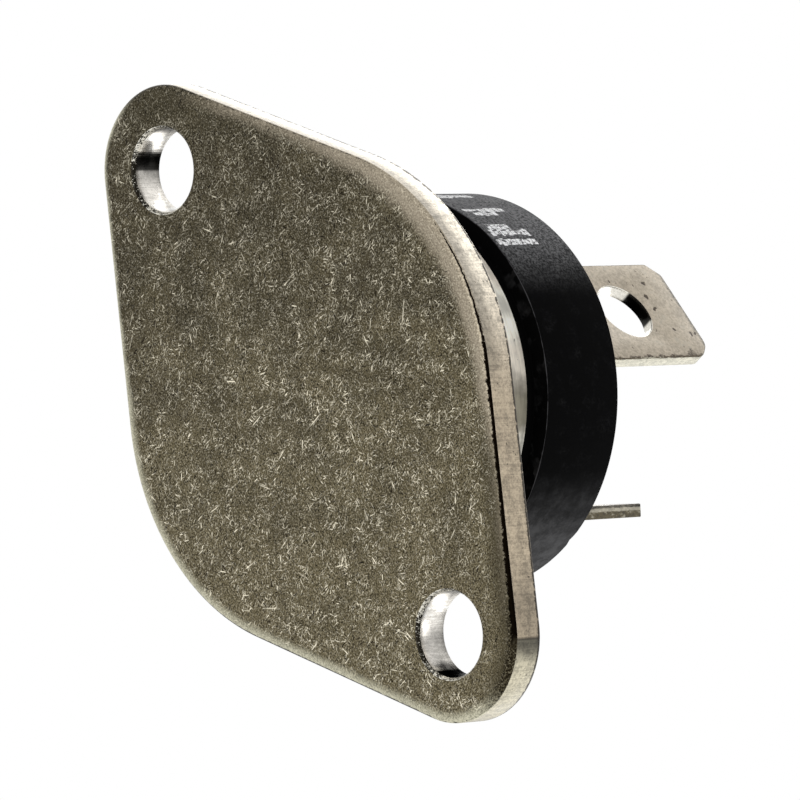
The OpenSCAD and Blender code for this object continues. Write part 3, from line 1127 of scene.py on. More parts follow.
# Partly painted reflection: the same nickel as the side and upper faces, with its ground painted
# darker to stand for the dark surroundings that the face mirrors; the rest is its tumbled finish.
MOUNTING_NICKEL = TumbledNickel("nickel mounting face", (0.13, 0.109, 0.062),
                                metallic=1.0, roughness=0.42)
ENTRY_NICKEL = PunchedEntry("nickel hole entry", (0.85, 0.82, 0.72),
                            metallic=0.9, roughness=0.3)
SIDE_NICKEL = ShearedSide("nickel sheared side", (0.335, 0.28, 0.205),
                          metallic=0.8, roughness=0.4)
UPPER_NICKEL = TurnedNickel("nickel upper face", (0.36, 0.32, 0.25),
                            metallic=0.8, roughness=0.36)
BOSS_NICKEL = StainedBoss("nickel boss", (0.86, 0.79, 0.68), metallic=0.5, roughness=0.42)
BORE_NICKEL = BoredWall("nickel hole wall", (0.96, 0.92, 0.85), metallic=0.98, roughness=0.26,
                        contrast=0.27, clouded=0.08)
CASE_BLACK = MouldedPlastic("black moulding", (0.0016, 0.0016, 0.0017),
                            roughness=0.6, specular=0.015)
WHITE_INK = PrintedInk("white print", (0.95, 0.95, 0.96), roughness=0.6, specular=0.2)
RESIN_BLACK = CastResin("potting resin", (0.009, 0.009, 0.01), roughness=0.35, specular=0.2)
TAB_TIN = TinnedSheet("tinned tab face", (0.43, 0.375, 0.295), metallic=0.65, roughness=0.42)
TAB_HOLE = TabHoleWall("tinned tab hole wall", (0.85, 0.82, 0.74), metallic=0.98,
                       roughness=0.15, contrast=0.15)
GATE_HOLE = DrawnNickel("tinned gate hole wall", (0.74, 0.71, 0.64), metallic=0.9,
                        roughness=0.2, contrast=0.15)
MAIN_EDGE = ShearedEdge("main tab cut edge", (0.46, 0.44, 0.35), metallic=0.6, roughness=0.4,
                        rolled_to=-1.0, torn_from=0.62, ragged=0.35)
GATE_EDGE = ShearedEdge("gate tab cut edge", (0.42, 0.39, 0.31), metallic=0.6, roughness=0.45,
                        torn=(0.12, 0.1, 0.06), rolled_to=0.16, torn_from=0.33, ragged=0.3)
ADHESIVE = FiredSurface("case adhesive", (0.06, 0.055, 0.045), specular=0.3, grain_size=3.0)
GEL = SoftGel("clear gel", (0.88, 0.91, 0.93), roughness=0.05)
SOLDER = FiredSurface("bright solder", (0.56, 0.57, 0.58), metallic=0.95, roughness=0.3,
                      grain_size=8.0, spread=0.12)
COPPER = FiredSurface("bare copper", (0.78, 0.36, 0.2), metallic=0.95, roughness=0.32,
                      grain_size=10.0, spread=0.12)
CERAMIC = FiredSurface("white ceramic", (0.82, 0.81, 0.78), roughness=0.6, specular=0.4,
                       grain_size=14.0, spread=0.05)
SILICON = FiredSurface("silicon", (0.1, 0.11, 0.13), metallic=0.6, roughness=0.2,
                       grain_size=20.0, spread=0.08)
INNER_NODES: tuple[tuple[Finish, tuple[str, ...]], ...] = (
    (ADHESIVE, ("case_adhesive",)),
    (GEL, ("soft_gel",)),
    (CERAMIC, ("ceramic_plate",)),
    (SILICON, ("silicon_die",)),
    (SOLDER, ("base_solder", "die_solder", "clip_die_solder", "clip_pad_solder", "lead_die_solder",
              "lead_pad_solder", "main_foot_solder_1", "main_foot_solder_2", "gate_foot_solder")),
    (COPPER, ("back_copper", "main_pad_1", "main_pad_2", "gate_pad", "contact_clip", "gate_lead")),
)


# --------------------------------------------------------------------------- mesh tools


def linked(name: str, data: bpy.types.ID) -> bpy.types.Object:
    """Makes an object of a mesh, lamp or camera and links it to the scene.

    Args:
        name: The object's name.
        data: Its mesh, lamp or camera.

    Returns:
        The object.
    """
    made = bpy.data.objects.new(name, data)
    bpy.context.scene.collection.objects.link(made)
    return made


class Shell:
    """A mesh under construction, in millimetres, made of loops of points joined by bands."""

    def __init__(self) -> None:
        """Starts an empty mesh."""
        self.mesh = bmesh.new()
        self.rim = self.mesh.verts.layers.float.new("rim")

    def loop(self, points: Iterable[Sequence[float]], rim: float = 0.0) -> Loop:
        """Adds one closed loop of points.

        Args:
            points: The loop's points in order.
            rim: How far the loop lies inside the outer edge of its face.

        Returns:
            The loop's vertices.
        """
        made = [self.mesh.verts.new(point) for point in points]
        for vert in made:
            vert[self.rim] = rim
        return made

    def band(self, lower: Loop, upper: Loop, slot: int = 0) -> None:
        """Joins two loops by a band of quads.

        Args:
            lower: The first loop.
            upper: The second loop, with as many points.
            slot: The band's material slot.
        """
        for i in range(len(lower)):
            made = self.mesh.faces.new((lower[i - 1], lower[i], upper[i], upper[i - 1]))
            made.material_index = slot

    def bands(self, loops: Sequence[Loop], slots: Sequence[int]) -> None:
        """Joins a row of loops, with one material slot for each band."""
        for lower, upper, slot in zip(loops, loops[1:], slots):
            self.band(lower, upper, slot)

    def cap(self, loops: Sequence[Loop], slot: int = 0) -> None:
        """Fills the flat area between an outer loop and the holes in it.

        Args:
            loops: The outer loop and the loop of each hole.
            slot: The area's material slot.
        """
        edges = []
        for loop in loops:
            for i, vert in enumerate(loop):
                pair = (vert, loop[(i + 1) % len(loop)])
                edges.append(self.mesh.edges.get(pair) or self.mesh.edges.new(pair))
        made = bmesh.ops.triangle_fill(self.mesh, use_beauty=True, edges=edges)
        for item in made["geom"]:
            if isinstance(item, bmesh.types.BMFace):
                item.material_index = slot

    def turned(self, profile: Sequence[Point], steps: int) -> list[Loop]:
        """Adds a loop round Z for each [radius, height] of the profile."""
        return [self.loop(circle(radius, height, steps)) for radius, height in profile]

    def finish(self, name: str, finishes: Sequence[Finish], sharp: float) -> bpy.types.Object:
        """Turns the mesh into an object in metres, with its faces outwards and its materials.

        Args:
            name: The piece's name.
            finishes: One finish for each material slot.
            sharp: Angle in degrees above which an edge is shaded as sharp.

        Returns:
            The new object, linked to the scene.
        """
        bmesh.ops.remove_doubles(self.mesh, verts=self.mesh.verts, dist=1e-5)
        bmesh.ops.recalc_face_normals(self.mesh, faces=self.mesh.faces)
        bmesh.ops.scale(self.mesh, vec=(MM,) * 3, verts=self.mesh.verts)
        for face in self.mesh.faces:
            face.smooth = True
        data = bpy.data.meshes.new(name)
        self.mesh.to_mesh(data)
        self.mesh.free()
        data.set_sharp_from_angle(angle=math.radians(sharp))
        for finish in finishes:
            data.materials.append(finish.material())
        return linked(name, data)


def circle(radius: float, height: float, steps: int, centre: Point = (0.0, 0.0)) -> list[Place]:
    """Points of a circle round a vertical axis.

    Args:
        radius: The circle's radius.
        height: Its height.
        steps: The number of points.
        centre: The X and Y of the axis.

    Returns:
        The points, from +X towards +Y.
    """
    turns = (FULL_TURN * i / steps for i in range(steps))
    return [(centre[0] + radius * math.cos(a), centre[1] + radius * math.sin(a), height)
            for a in turns]


def quarter(steps: int) -> list[Point]:
    """Cosine and sine of evenly spaced angles over a quarter turn, ends included."""
    turns = (math.pi / 2 * i / steps for i in range(steps + 1))
    return [(math.cos(a), math.sin(a)) for a in turns]


def rounded_profile(corners: Sequence[Point], radii: Sequence[float],
                    steps: int = 4) -> list[Point]:
    """Rounds the corners of a closed profile.

    Args:
        corners: The corner points in order.
        radii: The rounding of each corner; 0 keeps it sharp.
        steps: Segments in each rounding.

    Returns:
        The points of the rounded profile.
    """
    made: list[Point] = []
    count = len(corners)
    for i, radius in enumerate(radii):
        here = Vector(corners[i])
        if radius <= 0:
            made.append(tuple(here))
            continue
        before = (Vector(corners[i - 1]) - here).normalized()
        after = (Vector(corners[(i + 1) % count]) - here).normalized()
        half = before.angle(after) / 2
        reach = radius / math.tan(half)
        start = here + before * reach
        end = here + after * reach
        centre = here + (before + after).normalized() * (radius / math.sin(half))
        for k in range(steps + 1):
            aim = (start - centre).lerp(end - centre, k / steps).normalized() * radius
            made.append(tuple(centre + aim))
    return made


def ride(piece: bpy.types.Object, slot: str, *nodes: str) -> bpy.types.Object:
    """Puts a piece on the root body.

    Args:
        piece: The piece's object.
        slot: Its material slot in the CAD record.
        nodes: The CAD nodes that it replaces.

    Returns:
        The same object.
    """
    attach(piece, "root")
    if nodes:
        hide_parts(*nodes)
    LOG.info("%s: %d faces, finish of %s", piece.name, len(piece.data.polygons), slot)
    return piece


# --------------------------------------------------------------------------- sub-assemblies


class BaseFace(Enum):
    """The differently finished faces of the base, by material slot."""

    MOUNTING = 0
    ENTRY = 1
    SIDE = 2
    UPPER = 3
    BORE = 4
    BOSS = 5


@dataclass
class Base:
    """Flange with two fixing holes, round boss and raised seat, in mm."""

    hole_r: float = 2.125
    hole_chamfer: float = 0.14
    flange_r: float = 12.55
    lug_r: float = 4.35
    flange_t: float = 1.95
    roll_w: float = 0.36
    roll_h: float = 0.22
    rear_round: float = 0.18
    entry_depth: float = 0.22
    rim_reach: float = 1.5
    loop_gap: float = 0.12
    boss_r: float = 9.65
    boss_z: float = 6.1
    boss_fillet: float = 0.4
    boss_chamfer: float = 0.12
    seat_r: float = 8.4
    seat_z: float = 6.9
    hole_rear: float = 0.06
    arc_steps: int = 40
    flank_steps: int = 24
    round_steps: int = 120
    hole_steps: int = 96
    roll_steps: int = 8
    sharp: float = 50.0

    def outline(self, inset: float, height: float) -> list[Place]:
        """The flange's outline: two arcs of the flange, two of the lugs and straight flanks.

        Args:
            inset: How far the outline is drawn in.
            height: Its height.

        Returns:
            The outline's points.
        """
        flank = math.acos((self.flange_r - self.lug_r) / HOLE_X)
        arcs = (((0.0, 0.0), self.flange_r, flank, math.pi - flank),
                ((-HOLE_X, 0.0), self.lug_r, math.pi - flank, math.pi + flank),
                ((0.0, 0.0), self.flange_r, math.pi + flank, FULL_TURN - flank),
                ((HOLE_X, 0.0), self.lug_r, -flank, flank))
        points = []
        for (cx, cy), radius, start, end in arcs:
            turns = [start + (end - start) * i / self.arc_steps for i in range(self.arc_steps + 1)]
            reach = radius - inset
            points.append([(cx + reach * math.cos(a), cy + reach * math.sin(a), height)
                           for a in turns])
        made = []
        for arc, following in zip(points, points[1:] + points[:1]):
            made += arc
            first, last = Vector(arc[-1]), Vector(following[0])
            made += [tuple(first.lerp(last, i / self.flank_steps))
                     for i in range(1, self.flank_steps)]
        return made

    def flange(self, shell: Shell) -> Loop:
        """Builds the flange's mounting face, edge, upper face and holes.

        Args:
            shell: The mesh under construction.

        Returns:
            The loop where the boss's fillet starts.
        """
        flat = [(self.rim_reach, 0.0), (0.6 * self.rim_reach, 0.0),
                (self.roll_w + self.loop_gap, 0.0)]
        roll = flat + [(self.roll_w * (1 - s), self.roll_h * (1 - c))
                       for c, s in quarter(self.roll_steps)]
        outer = [shell.loop(self.outline(inset, height), inset) for inset, height in roll]
        rear = [(self.rear_round * (1 - c), self.flange_t - self.rear_round * (1 - s))
                for c, s in quarter(3)]
        outer += [shell.loop(self.outline(inset, height)) for inset, height in rear]
        outer += [shell.loop(self.outline(self.rear_round + self.loop_gap, self.flange_t))]
        slots = [BaseFace.MOUNTING.value] * (len(roll) - 1) + [BaseFace.SIDE.value] * len(rear)
        shell.bands(outer, slots + [BaseFace.UPPER.value])
        foot = shell.loop(circle(self.boss_r + self.boss_fillet, self.flange_t, self.round_steps))
        lower, upper = [outer[0]], [outer[-1], foot]
        for side in (-1, 1):
            loops = self.hole(shell, side * HOLE_X)
            lower.append(loops[0])
            upper.append(loops[-1])
        shell.cap(lower, BaseFace.MOUNTING.value)
        shell.cap(upper, BaseFace.UPPER.value)
        return foot

    def hole(self, shell: Shell, x: float) -> list[Loop]:
        """Builds the rolled entry, wall and small rear chamfer of one fixing hole.

        Args:
            shell: The mesh under construction.
            x: The hole's place on the X axis.

        Returns:
            The hole's loops from the mounting face up.
        """
        wide, deep = self.hole_chamfer, self.entry_depth
        profile = [(wide + 0.1, 0.0), (wide, 0.0), (0.7 * wide, 0.05), (0.35 * wide, 0.5 * deep),
                   (0.1 * wide, 0.9 * deep), (0.0, deep), (0.0, self.flange_t - self.hole_rear),
                   (self.hole_rear, self.flange_t), (self.hole_rear + 0.1, self.flange_t)]
        loops = [shell.loop(circle(self.hole_r + out, height, self.hole_steps, (x, 0.0)),
                            self.rim_reach) for out, height in profile]
        slots = [BaseFace.MOUNTING.value] + [BaseFace.ENTRY.value] * 4 + [BaseFace.BORE.value] * 2
        shell.bands(loops, slots + [BaseFace.UPPER.value])
        return loops

    def boss(self, shell: Shell, foot: Loop) -> None:
        """Builds the fillet, wall and top of the boss, and the seat.

        Args:
            shell: The mesh under construction.
            foot: The loop where the fillet starts.
        """
        curve = self.boss_fillet
        fillet = [(self.boss_r + curve * (1 - s), self.flange_t + curve * (1 - c))
                  for c, s in quarter(5)][1:]
        profile = fillet + [(self.boss_r, self.boss_z - self.boss_chamfer),
                            (self.boss_r - self.boss_chamfer, self.boss_z),
                            (self.seat_r, self.boss_z), (self.seat_r, self.seat_z)]
        loops = [foot] + shell.turned(profile, self.round_steps)
        shell.bands(loops, [BaseFace.BOSS.value] * (len(loops) - 1))
        shell.cap([loops[-1]], BaseFace.BOSS.value)

    def build(self) -> bpy.types.Object:
        """Builds the whole base as one closed mesh and puts it in place of its CAD node.

        Returns:
            The base.
        """
        shell = Shell()
        self.boss(shell, self.flange(shell))
        made = shell.finish("base_plate", self.dress(), self.sharp)
        return ride(made, "nickel_plate", "base")

    def dress(self) -> list[Finish]:
        """The finishes in the order of BaseFace."""
        return [MOUNTING_NICKEL, ENTRY_NICKEL, SIDE_NICKEL, UPPER_NICKEL, BORE_NICKEL, BOSS_NICKEL]


@dataclass
class Case:
    """Round moulded case with its foot on the boss and its print, in mm."""

    case_r: float = 10.1
    foot_r: float = 9.2
    bore_r: float = 8.6
    foot_z: float = 6.2
    wall_z: float = 7.0
    rim_z: float = 12.3
    edge_round: float = 0.15
    bore_round: float = 0.12
    foot_round: float = 0.05
    steps: int = 192
    sharp: float = 60.0
    nick_angle: float = math.radians(-2.5)
    nick_turn: float = 0.02
    nick_h: float = 0.5
    nick_depth: float = 0.09

    def ring(self) -> bpy.types.Object:
        """Builds the case wall as a closed ring with rounded edges.

        Returns:
            The case.
        """
        shell = Shell()
        corners = [(self.bore_r, self.foot_z), (self.foot_r, self.foot_z),
                   (self.foot_r, self.wall_z), (self.case_r, self.wall_z),
                   (self.case_r, self.rim_z), (self.bore_r, self.rim_z)]
        profile = rounded_profile(corners, (0.0, self.foot_round, self.foot_round, self.foot_round,
                                            self.edge_round, self.bore_round))
        loops = shell.turned(profile, self.steps)
        shell.bands(loops + loops[:1], [0] * len(loops))
        self.nick(shell)
        made = shell.finish("moulded_case", [CASE_BLACK], self.sharp)
        return ride(made, "case_plastic", "case_ring")

    def nick(self, shell: Shell) -> None:
        """Presses a small dent into the outer edge of the rim.

        Args:
            shell: The mesh under construction.
        """
        for vert in shell.mesh.verts:
            turn = math.atan2(vert.co.y, vert.co.x) - self.nick_angle
            near = math.exp(-(turn / self.nick_turn) ** 2
                            - ((vert.co.z - self.rim_z) / self.nick_h) ** 2)
            outer = math.hypot(vert.co.x, vert.co.y) > self.case_r - self.edge_round
            if outer and near > 0.05:
                scale = 1 - self.nick_depth * near / self.case_r
                vert.co.x *= scale
                vert.co.y *= scale

    def build(self) -> list[bpy.types.Object]:
        """Builds the case and its print."""
        return [self.ring(), Print(self.case_r).build()]


@dataclass(frozen=True)
class PrintRow:
    """One row of dashes that runs along Z on the case wall; angle in degrees, the rest in mm."""

    angle: float
    start: float
    dash: float
    gap: float
    count: int
    width: float


@dataclass
class Print:
    """Generic rows of plain white dashes on the case wall, made with Geometry Nodes, in mm."""

    case_r: float
    lift: float = 0.012
    narrowest: float = 0.45
    widest: float = 1.2
    rows: Sequence[PrintRow] = (
        PrintRow(-130.0, 7.7, 0.26, 0.03, 10, 0.8), PrintRow(-115.9, 7.5, 0.3, 0.03, 9, 0.42),
        PrintRow(-113.4, 7.9, 0.3, 0.04, 5, 0.46), PrintRow(-105.8, 7.6, 0.28, 0.04, 5, 0.46),
        PrintRow(-103.0, 7.4, 0.28, 0.03, 9, 0.52), PrintRow(-98.8, 7.3, 0.26, 0.03, 10, 0.46))

    def tree(self) -> bpy.types.NodeTree:
        """Builds the tree: a row of points along Z with a plain dash on each.

        Returns:
            The tree, which puts out one row as a mesh with its finish.
        """
        tree = bpy.data.node_groups.new("dash row", "GeometryNodeTree")
        for name, kind in (("Start", "NodeSocketVector"), ("Pitch", "NodeSocketFloat"),
                           ("Count", "NodeSocketInt"), ("Dash", "NodeSocketVector"),
                           ("Angle", "NodeSocketFloat"), ("Seed", "NodeSocketInt"),
                           ("Finish", "NodeSocketMaterial")):
            tree.interface.new_socket(name, in_out="INPUT", socket_type=kind)
        tree.interface.new_socket("Geometry", in_out="OUTPUT", socket_type="NodeSocketGeometry")
        graph = Graph(tree)
        given = graph.outputs("NodeGroupInput")
        line = graph.read("GeometryNodeMeshLine", 0, {
            "Count": given["Count"], "Start Location": given["Start"],
            "Offset": graph.joined(0.0, 0.0, given["Pitch"])})
        dash = graph.read("GeometryNodeMeshCube", 0, {"Size": given["Dash"]})
        width = graph.read("FunctionNodeRandomValue", 1, {
            2: self.narrowest, 3: self.widest, "Seed": given["Seed"]}, data_type="FLOAT")
        placed = graph.read("GeometryNodeInstanceOnPoints", 0, {
            "Points": line, "Instance": dash,
            "Rotation": graph.joined(0.0, 0.0, given["Angle"]),
            "Scale": graph.joined(1.0, width, 1.0)})
        real = graph.read("GeometryNodeRealizeInstances", 0, {"Geometry": placed})
        graph.node("NodeGroupOutput", {"Geometry": graph.read("GeometryNodeSetMaterial", 0, {
            "Geometry": real, "Material": given["Finish"]})})
        return tree

    def row(self, tree: bpy.types.NodeTree, row: PrintRow, seed: int) -> bpy.types.Mesh:
        """Runs the tree for one row.

        Args:
            tree: The Geometry Nodes tree.
            row: The row's sizes.
            seed: Seed of the dashes' widths.

        Returns:
            The row's mesh.
        """
        turn = math.radians(row.angle)
        radius = self.case_r - self.lift
        middle = row.start + row.dash / 2
        start = Vector((radius * math.cos(turn), radius * math.sin(turn), middle))
        values = {"Start": start * MM, "Pitch": (row.dash + row.gap) * MM, "Count": row.count,
                  "Dash": Vector((2 * self.lift, row.width, row.dash)) * MM, "Angle": turn,
                  "Seed": seed, "Finish": WHITE_INK.material()}
        holder = linked("row", bpy.data.meshes.new("row"))
        modifier = holder.modifiers.new("rows", "NODES")
        modifier.node_group = tree
        for item in tree.interface.items_tree:
            if item.in_out == "INPUT":
                modifier[item.identifier] = values[item.name]
        graph = bpy.context.evaluated_depsgraph_get()
        mesh = bpy.data.meshes.new_from_object(holder.evaluated_get(graph))
        bpy.data.objects.remove(holder)
        return mesh

    def build(self) -> bpy.types.Object:
        """Builds all rows as one piece.

        Returns:
            The print.
        """
        tree = self.tree()
        whole = bmesh.new()
        for seed, row in enumerate(self.rows):
            whole.from_mesh(self.row(tree, row, seed))
        data = bpy.data.meshes.new("case_print")
        whole.to_mesh(data)
        whole.free()
        data.materials.append(WHITE_INK.material())
        return ride(linked("case_print", data), "case_plastic")


class SheetFace(Enum):
    """The differently finished faces of a solder tab, by material slot."""

    FACE = 0
    EDGE = 1
    HOLE = 2


@dataclass
class Blade:
    """One flat solder-tab terminal with its neck, bent foot and hole, in mm, along the local X."""

    name: str
    slot_node: str
    turn: float
    inner: float
    width: float
    neck: float
    thick: float
    foot: float
    tip_z: float
    corner: float
    hole_r: float
    hole_in: float
    land_z: float = 8.3
    shoulder_z: float = 10.85
    bend_r: float = 0.3
    edge: float = 0.05
    bend_steps: int = 6
    hole_steps: int = 56
    sharp: float = 35.0
    cut_edge: ShearedEdge = MAIN_EDGE
    hole_wall: DrawnNickel = TAB_HOLE

    def outline(self, inset: float) -> list[Point]:
        """The outline of the blade and its neck.

        Args:
            inset: How far the outline is drawn in.

        Returns:
            The points as [across, height].
        """
        half = self.width / 2 - inset
        slim = self.neck / 2 - inset
        cut = self.corner - inset * (2 - math.sqrt(2))
        low = self.land_z + self.thick + self.bend_r
        top = self.tip_z - inset
        shoulder = self.shoulder_z + inset
        corners = [(-slim, low), (slim, low), (slim, shoulder), (half, shoulder),
                   (half, top - cut), (half - cut, top), (cut - half, top), (-half, top - cut),
                   (-half, shoulder), (-slim, shoulder)]
        worn, tip = 1.1 * self.corner, 0.4 * self.corner
        return rounded_profile(corners, (0, 0, 0, 0, worn, worn, tip, tip, 0, 0), 4)

    def blade(self, shell: Shell) -> None:
        """Builds the flat blade with eased edges and its hole.

        Args:
            shell: The mesh under construction.
        """
        sheet = [(self.edge * (1 - s), self.edge * (1 - c)) for c, s in quarter(2)]
        layers = sheet + [(inset, self.thick - depth) for inset, depth in reversed(sheet)]
        outer = [shell.loop((self.inner + depth, across, height)
                            for across, height in self.outline(inset)) for inset, depth in layers]
        shell.bands(outer, [SheetFace.EDGE.value] * (len(outer) - 1))
        hole_z = self.tip_z - self.hole_in
        rims = [shell.loop((self.inner + depth, across, hole_z + height)
                           for across, height, _ in circle(self.hole_r + inset, 0.0,
                                                           self.hole_steps))
                for inset, depth in layers]
        shell.bands(rims, [SheetFace.HOLE.value] * (len(rims) - 1))
        for end in (0, -1):
            shell.cap([outer[end], rims[end]], SheetFace.FACE.value)

    def bend(self, shell: Shell) -> None:
        """Builds the bend and foot below the neck as a swept strip.

        Args:
            shell: The mesh under construction.
        """
        radius = self.bend_r + self.thick
        sides = [[(radius - bend * c, radius - bend * s) for c, s in quarter(self.bend_steps)]
                 for bend in (radius, self.bend_r)]
        profile = sides[0] + [(self.foot, 0.0), (self.foot, self.thick)] + sides[1][::-1]
        half = self.neck / 2
        loops = [shell.loop((self.inner + run, across, self.land_z + height)
                            for run, height in profile) for across in (-half, half)]
        shell.band(loops[0], loops[1], SheetFace.FACE.value)
        for loop in loops:
            shell.cap([loop], SheetFace.FACE.value)

    def build(self) -> bpy.types.Object:
        """Builds the terminal and turns it to its place round the case.

        Returns:
            The terminal.
        """
        shell = Shell()
        self.blade(shell)
        self.bend(shell)
        bmesh.ops.rotate(shell.mesh, verts=shell.mesh.verts, cent=(0, 0, 0),
                         matrix=Matrix.Rotation(self.turn, 3, "Z"))
        made = shell.finish(self.name, self.dress(), self.sharp)
        return ride(made, "terminal_tin", self.slot_node)

    def dress(self) -> list[Finish]:
        """Fits the finishes to where this sheet lies.

        Returns:
            The finishes in the order of SheetFace.
        """
        out = (math.cos(self.turn), math.sin(self.turn), 0.0)
        edge = replace(self.cut_edge, name=f"{self.cut_edge.name} of {self.name}", across=out,
                       first=self.inner)
        sheet = replace(TAB_TIN, name=f"tinned face of {self.name}", tip_z=self.tip_z)
        return [sheet, edge, self.hole_wall]


@dataclass
class Potting:
    """Resin fill with a raised meniscus at the case wall and round the tabs, in mm."""

    bore_r: float = 8.6
    resin_z: float = 11.7
    climb: float = 0.28
    sunk: float = 0.03
    skirt: float = 0.2
    steps: int = 120
    curve_steps: int = 5
    sharp: float = 60.0
    blades: Sequence[Blade] = ()

    def curve(self) -> list[Point]:
        """The concave climb of the resin, as [way out from what it climbs, height]."""
        return [(self.climb * (1 - s), self.resin_z + self.climb * (1 - c))
                for c, s in quarter(self.curve_steps)]

    def wall_fillet(self, shell: Shell) -> None:
        """Builds the concave ring where the resin climbs the wall.

        Args:
            shell: The mesh under construction.
        """
        below = self.resin_z - self.skirt
        profile = [(self.bore_r - out, height) for out, height in self.curve()]
        profile += [(self.bore_r, below), (self.bore_r - self.climb, below)]
        loops = shell.turned(profile, self.steps)
        shell.bands(loops + loops[:1], [0] * len(loops))

    def tab_fillet(self, shell: Shell, blade: Blade) -> None:
        """Builds the concave collar where the resin climbs one blade.

        Args:
            shell: The mesh under construction.
            blade: The blade.
        """
        half_w, half_t = blade.width / 2 - 2 * self.sunk, blade.thick / 2 - 2 * self.sunk
        middle = blade.inner + blade.thick / 2
        spin = Matrix.Rotation(blade.turn, 3, "Z")
        below = self.resin_z - self.skirt
        profile = self.curve() + [(-self.sunk, self.resin_z + self.climb), (-self.sunk, below),
                                  (self.climb, below)]
        corners = ((1, 1, 0.0), (-1, 1, 0.5), (-1, -1, 1.0), (1, -1, 1.5))
        loops = []
        for grow, height in profile:
            reach = grow + 2 * self.sunk
            points = []
            for (sx, sy, start), k in product(corners, range(5)):
                turn = math.pi * (start + k / 8)
                points.append(spin @ Vector((middle + sx * half_t + reach * math.cos(turn),
                                             sy * half_w + reach * math.sin(turn), height)))
            loops.append(shell.loop(points))
        shell.bands(loops + loops[:1], [0] * len(loops))

    def build(self) -> bpy.types.Object:
        """Builds the meniscus, and dresses the CAD resin below it.

        Returns:
            The meniscus.
        """
        shell = Shell()
        self.wall_fillet(shell)
        for blade in self.blades:
            self.tab_fillet(shell, blade)
        made = shell.finish("resin_meniscus", [RESIN_BLACK], self.sharp)
        dress_node("potting_resin", RESIN_BLACK)
        return ride(made, "resin")


def dress_node(node: str, finish: Finish) -> None:
    """Gives a CAD node a finish and keeps its shape.

    Args:
        node: The node's name.
        finish: Its finish.
    """
    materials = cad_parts[node].data.materials
    materials.clear()
    materials.append(finish.material())
    LOG.info("%s: kept, finish %s", node, finish.name)


# --------------------------------------------------------------------------- stage


@dataclass(frozen=True)
class ViewPoint:
    """The camera: where it stands, the point it aims at, its roll and its lens, in mm."""

    place: Place = (150.856, -191.385, -249.571)
    aim: Place = (0.8408, -0.703, 6.0)
    roll: float = 87.688
    focal_px: float = 7009.7
    image_px: float = 800.0
    shift_px: Point = (1.5, 1.2)
    sensor: float = 36.0

    def build(self) -> bpy.types.Object:
        """Makes the scene's camera.

        Returns:
            The camera.
        """
        data = bpy.data.cameras.new("camera")
        data.sensor_width = self.sensor
        data.lens = self.sensor * self.focal_px / self.image_px
        data.clip_start, data.clip_end = 0.01, 10.0
        data.shift_x, data.shift_y = (-part / self.image_px for part in self.shift_px)
        made = linked("camera", data)
        place, aim = Vector(self.place) * MM, Vector(self.aim) * MM
        turn = (aim - place).to_track_quat("-Z", "Y").to_matrix()
        turn = turn @ Matrix.Rotation(math.radians(self.roll), 3, "Z")
        made.matrix_world = Matrix.Translation(place) @ turn.to_4x4()
        bpy.context.scene.camera = made
        return made


@dataclass(frozen=True)
class Lamp:
    """One round soft lamp that aims at the object; sizes in mm and power in watts."""

    name: str
    way: Place
    distance: float
    size: float
    power: float
    aim_z: float = 10.0

    def build(self) -> bpy.types.Object:
        """Makes the lamp.

        Returns:
            The lamp.
        """
        data = bpy.data.lights.new(self.name, "AREA")
        data.shape = "DISK"
        data.size = self.size * MM
        data.energy = self.power
        made = linked(self.name, data)
        out = Vector(self.way).normalized()
        made.location = Vector((0, 0, self.aim_z * MM)) + out * self.distance * MM
        made.rotation_mode = "QUATERNION"
        made.rotation_quaternion = (-out).to_track_quat("-Z", "Y")
        return made


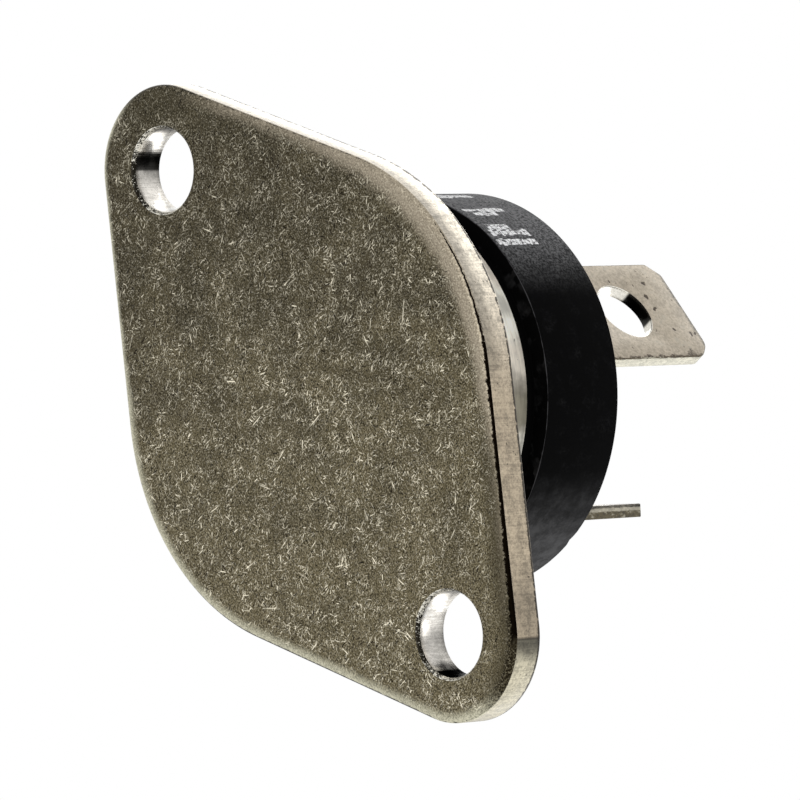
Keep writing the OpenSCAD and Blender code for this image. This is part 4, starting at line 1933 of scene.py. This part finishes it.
@dataclass
class Studio:
    """Pale floor, soft lamps and white surroundings."""

    floor_size: float = 3000.0
    floor_drop: float = 0.02
    floor_colour: Colour = (0.86, 0.86, 0.85)
    ambient: float = 0.55
    lamps: Sequence[Lamp] = (
        Lamp("lamp rear left", (-0.67, 0.17, 0.73), 420.0, 520.0, 0.9),
        Lamp("lamp rear right", (0.43, 0.54, 0.72), 420.0, 300.0, 0.34),
        Lamp("lamp front right", (0.75, -0.6, 0.35), 420.0, 300.0, 0.35),
        Lamp("lamp below", (0.2, -0.5, -0.85), 450.0, 320.0, 0.8),
    )

    def floor(self) -> bpy.types.Object:
        """Makes the floor, which shows from above and takes the object's shadow.

        Returns:
            The floor.
        """
        half = self.floor_size / 2 * MM
        corners = ((-half, -half), (half, -half), (half, half), (-half, half))
        mesh = bpy.data.meshes.new("floor")
        mesh.from_pydata([(x, y, -self.floor_drop * MM) for x, y in corners], [], [(0, 1, 2, 3)])
        made = linked("floor", mesh)
        material = bpy.data.materials.new("pale floor")
        graph = Graph.emptied(material)
        tone = graph.read("ShaderNodeTexCoord", "Object").noise(30.0)
        matte = graph.read("ShaderNodeBsdfDiffuse", 0, {
            "Color": tone.blend(shade(self.floor_colour, 0.985), self.floor_colour)})
        graph.node("ShaderNodeOutputMaterial", {"Surface": graph.read("ShaderNodeMixShader", 0, {
            0: graph.read("ShaderNodeNewGeometry", "Backfacing"), 1: matte,
            2: graph.read("ShaderNodeBsdfTransparent", 0)})})
        mesh.materials.append(material)
        made.visible_diffuse = made.visible_glossy = False
        made.visible_transmission = made.visible_shadow = False
        return made

    def world(self) -> None:
        """Makes plain ambient light that a camera, mirror or glass sees as white."""
        made = bpy.data.worlds.new("surroundings")
        bpy.context.scene.world = made
        graph = Graph.emptied(made)
        path = graph.outputs("ShaderNodeLightPath")
        seen = graph.math("ADD", path["Is Camera Ray"] + path["Is Glossy Ray"],
                          path["Is Transmission Ray"], clamp=True)
        light = graph.read("ShaderNodeBackground", 0, {
            "Color": seen.blend((self.ambient,) * 3, WHITE)})
        graph.node("ShaderNodeOutputWorld", {"Surface": light})

    def build(self) -> None:
        """Makes the floor, the lamps, the surroundings and the view settings."""
        self.floor()
        for lamp in self.lamps:
            lamp.build()
        self.world()
        bpy.context.scene.view_settings.view_transform = "Standard"


# --------------------------------------------------------------------------- the whole


def terminals() -> list[Blade]:
    """Sets out the terminals.

    Returns:
        The two main terminals and the gate terminal.
    """
    main = {"inner": 5.43, "width": 6.2, "neck": 3.0, "thick": 0.7, "foot": 2.1258, "tip_z": 23.5,
            "corner": 0.75, "hole_r": 1.68, "hole_in": 4.58}
    gate = {"inner": 6.17, "width": 2.8, "neck": 1.8, "thick": 0.7, "foot": 1.478, "tip_z": 23.6,
            "corner": 0.25, "hole_r": 0.9, "hole_in": 2.5, "cut_edge": GATE_EDGE,
            "hole_wall": GATE_HOLE}
    return [Blade("main_tab_1", "main_terminal_1", math.radians(90.0), **main),
            Blade("main_tab_2", "main_terminal_2", math.radians(-90.0), **main),
            Blade("gate_tab", "gate_terminal", math.radians(38.0), **gate)]


def main() -> None:
    """Builds the object, the camera and the stage, in that order."""
    logging.basicConfig(level=logging.INFO, format="%(name)s: %(message)s")
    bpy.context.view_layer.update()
    for effect in EFFECTS:
        effect.build()
    Base().build()
    Case().build()
    blades = terminals()
    for blade in blades:
        blade.build()
    Potting(blades=blades).build()
    for finish, nodes in INNER_NODES:
        for node in nodes:
            dress_node(node, finish)
    ViewPoint().build()
    Studio().build()
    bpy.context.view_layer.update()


if __name__ == "__main__":
    main()
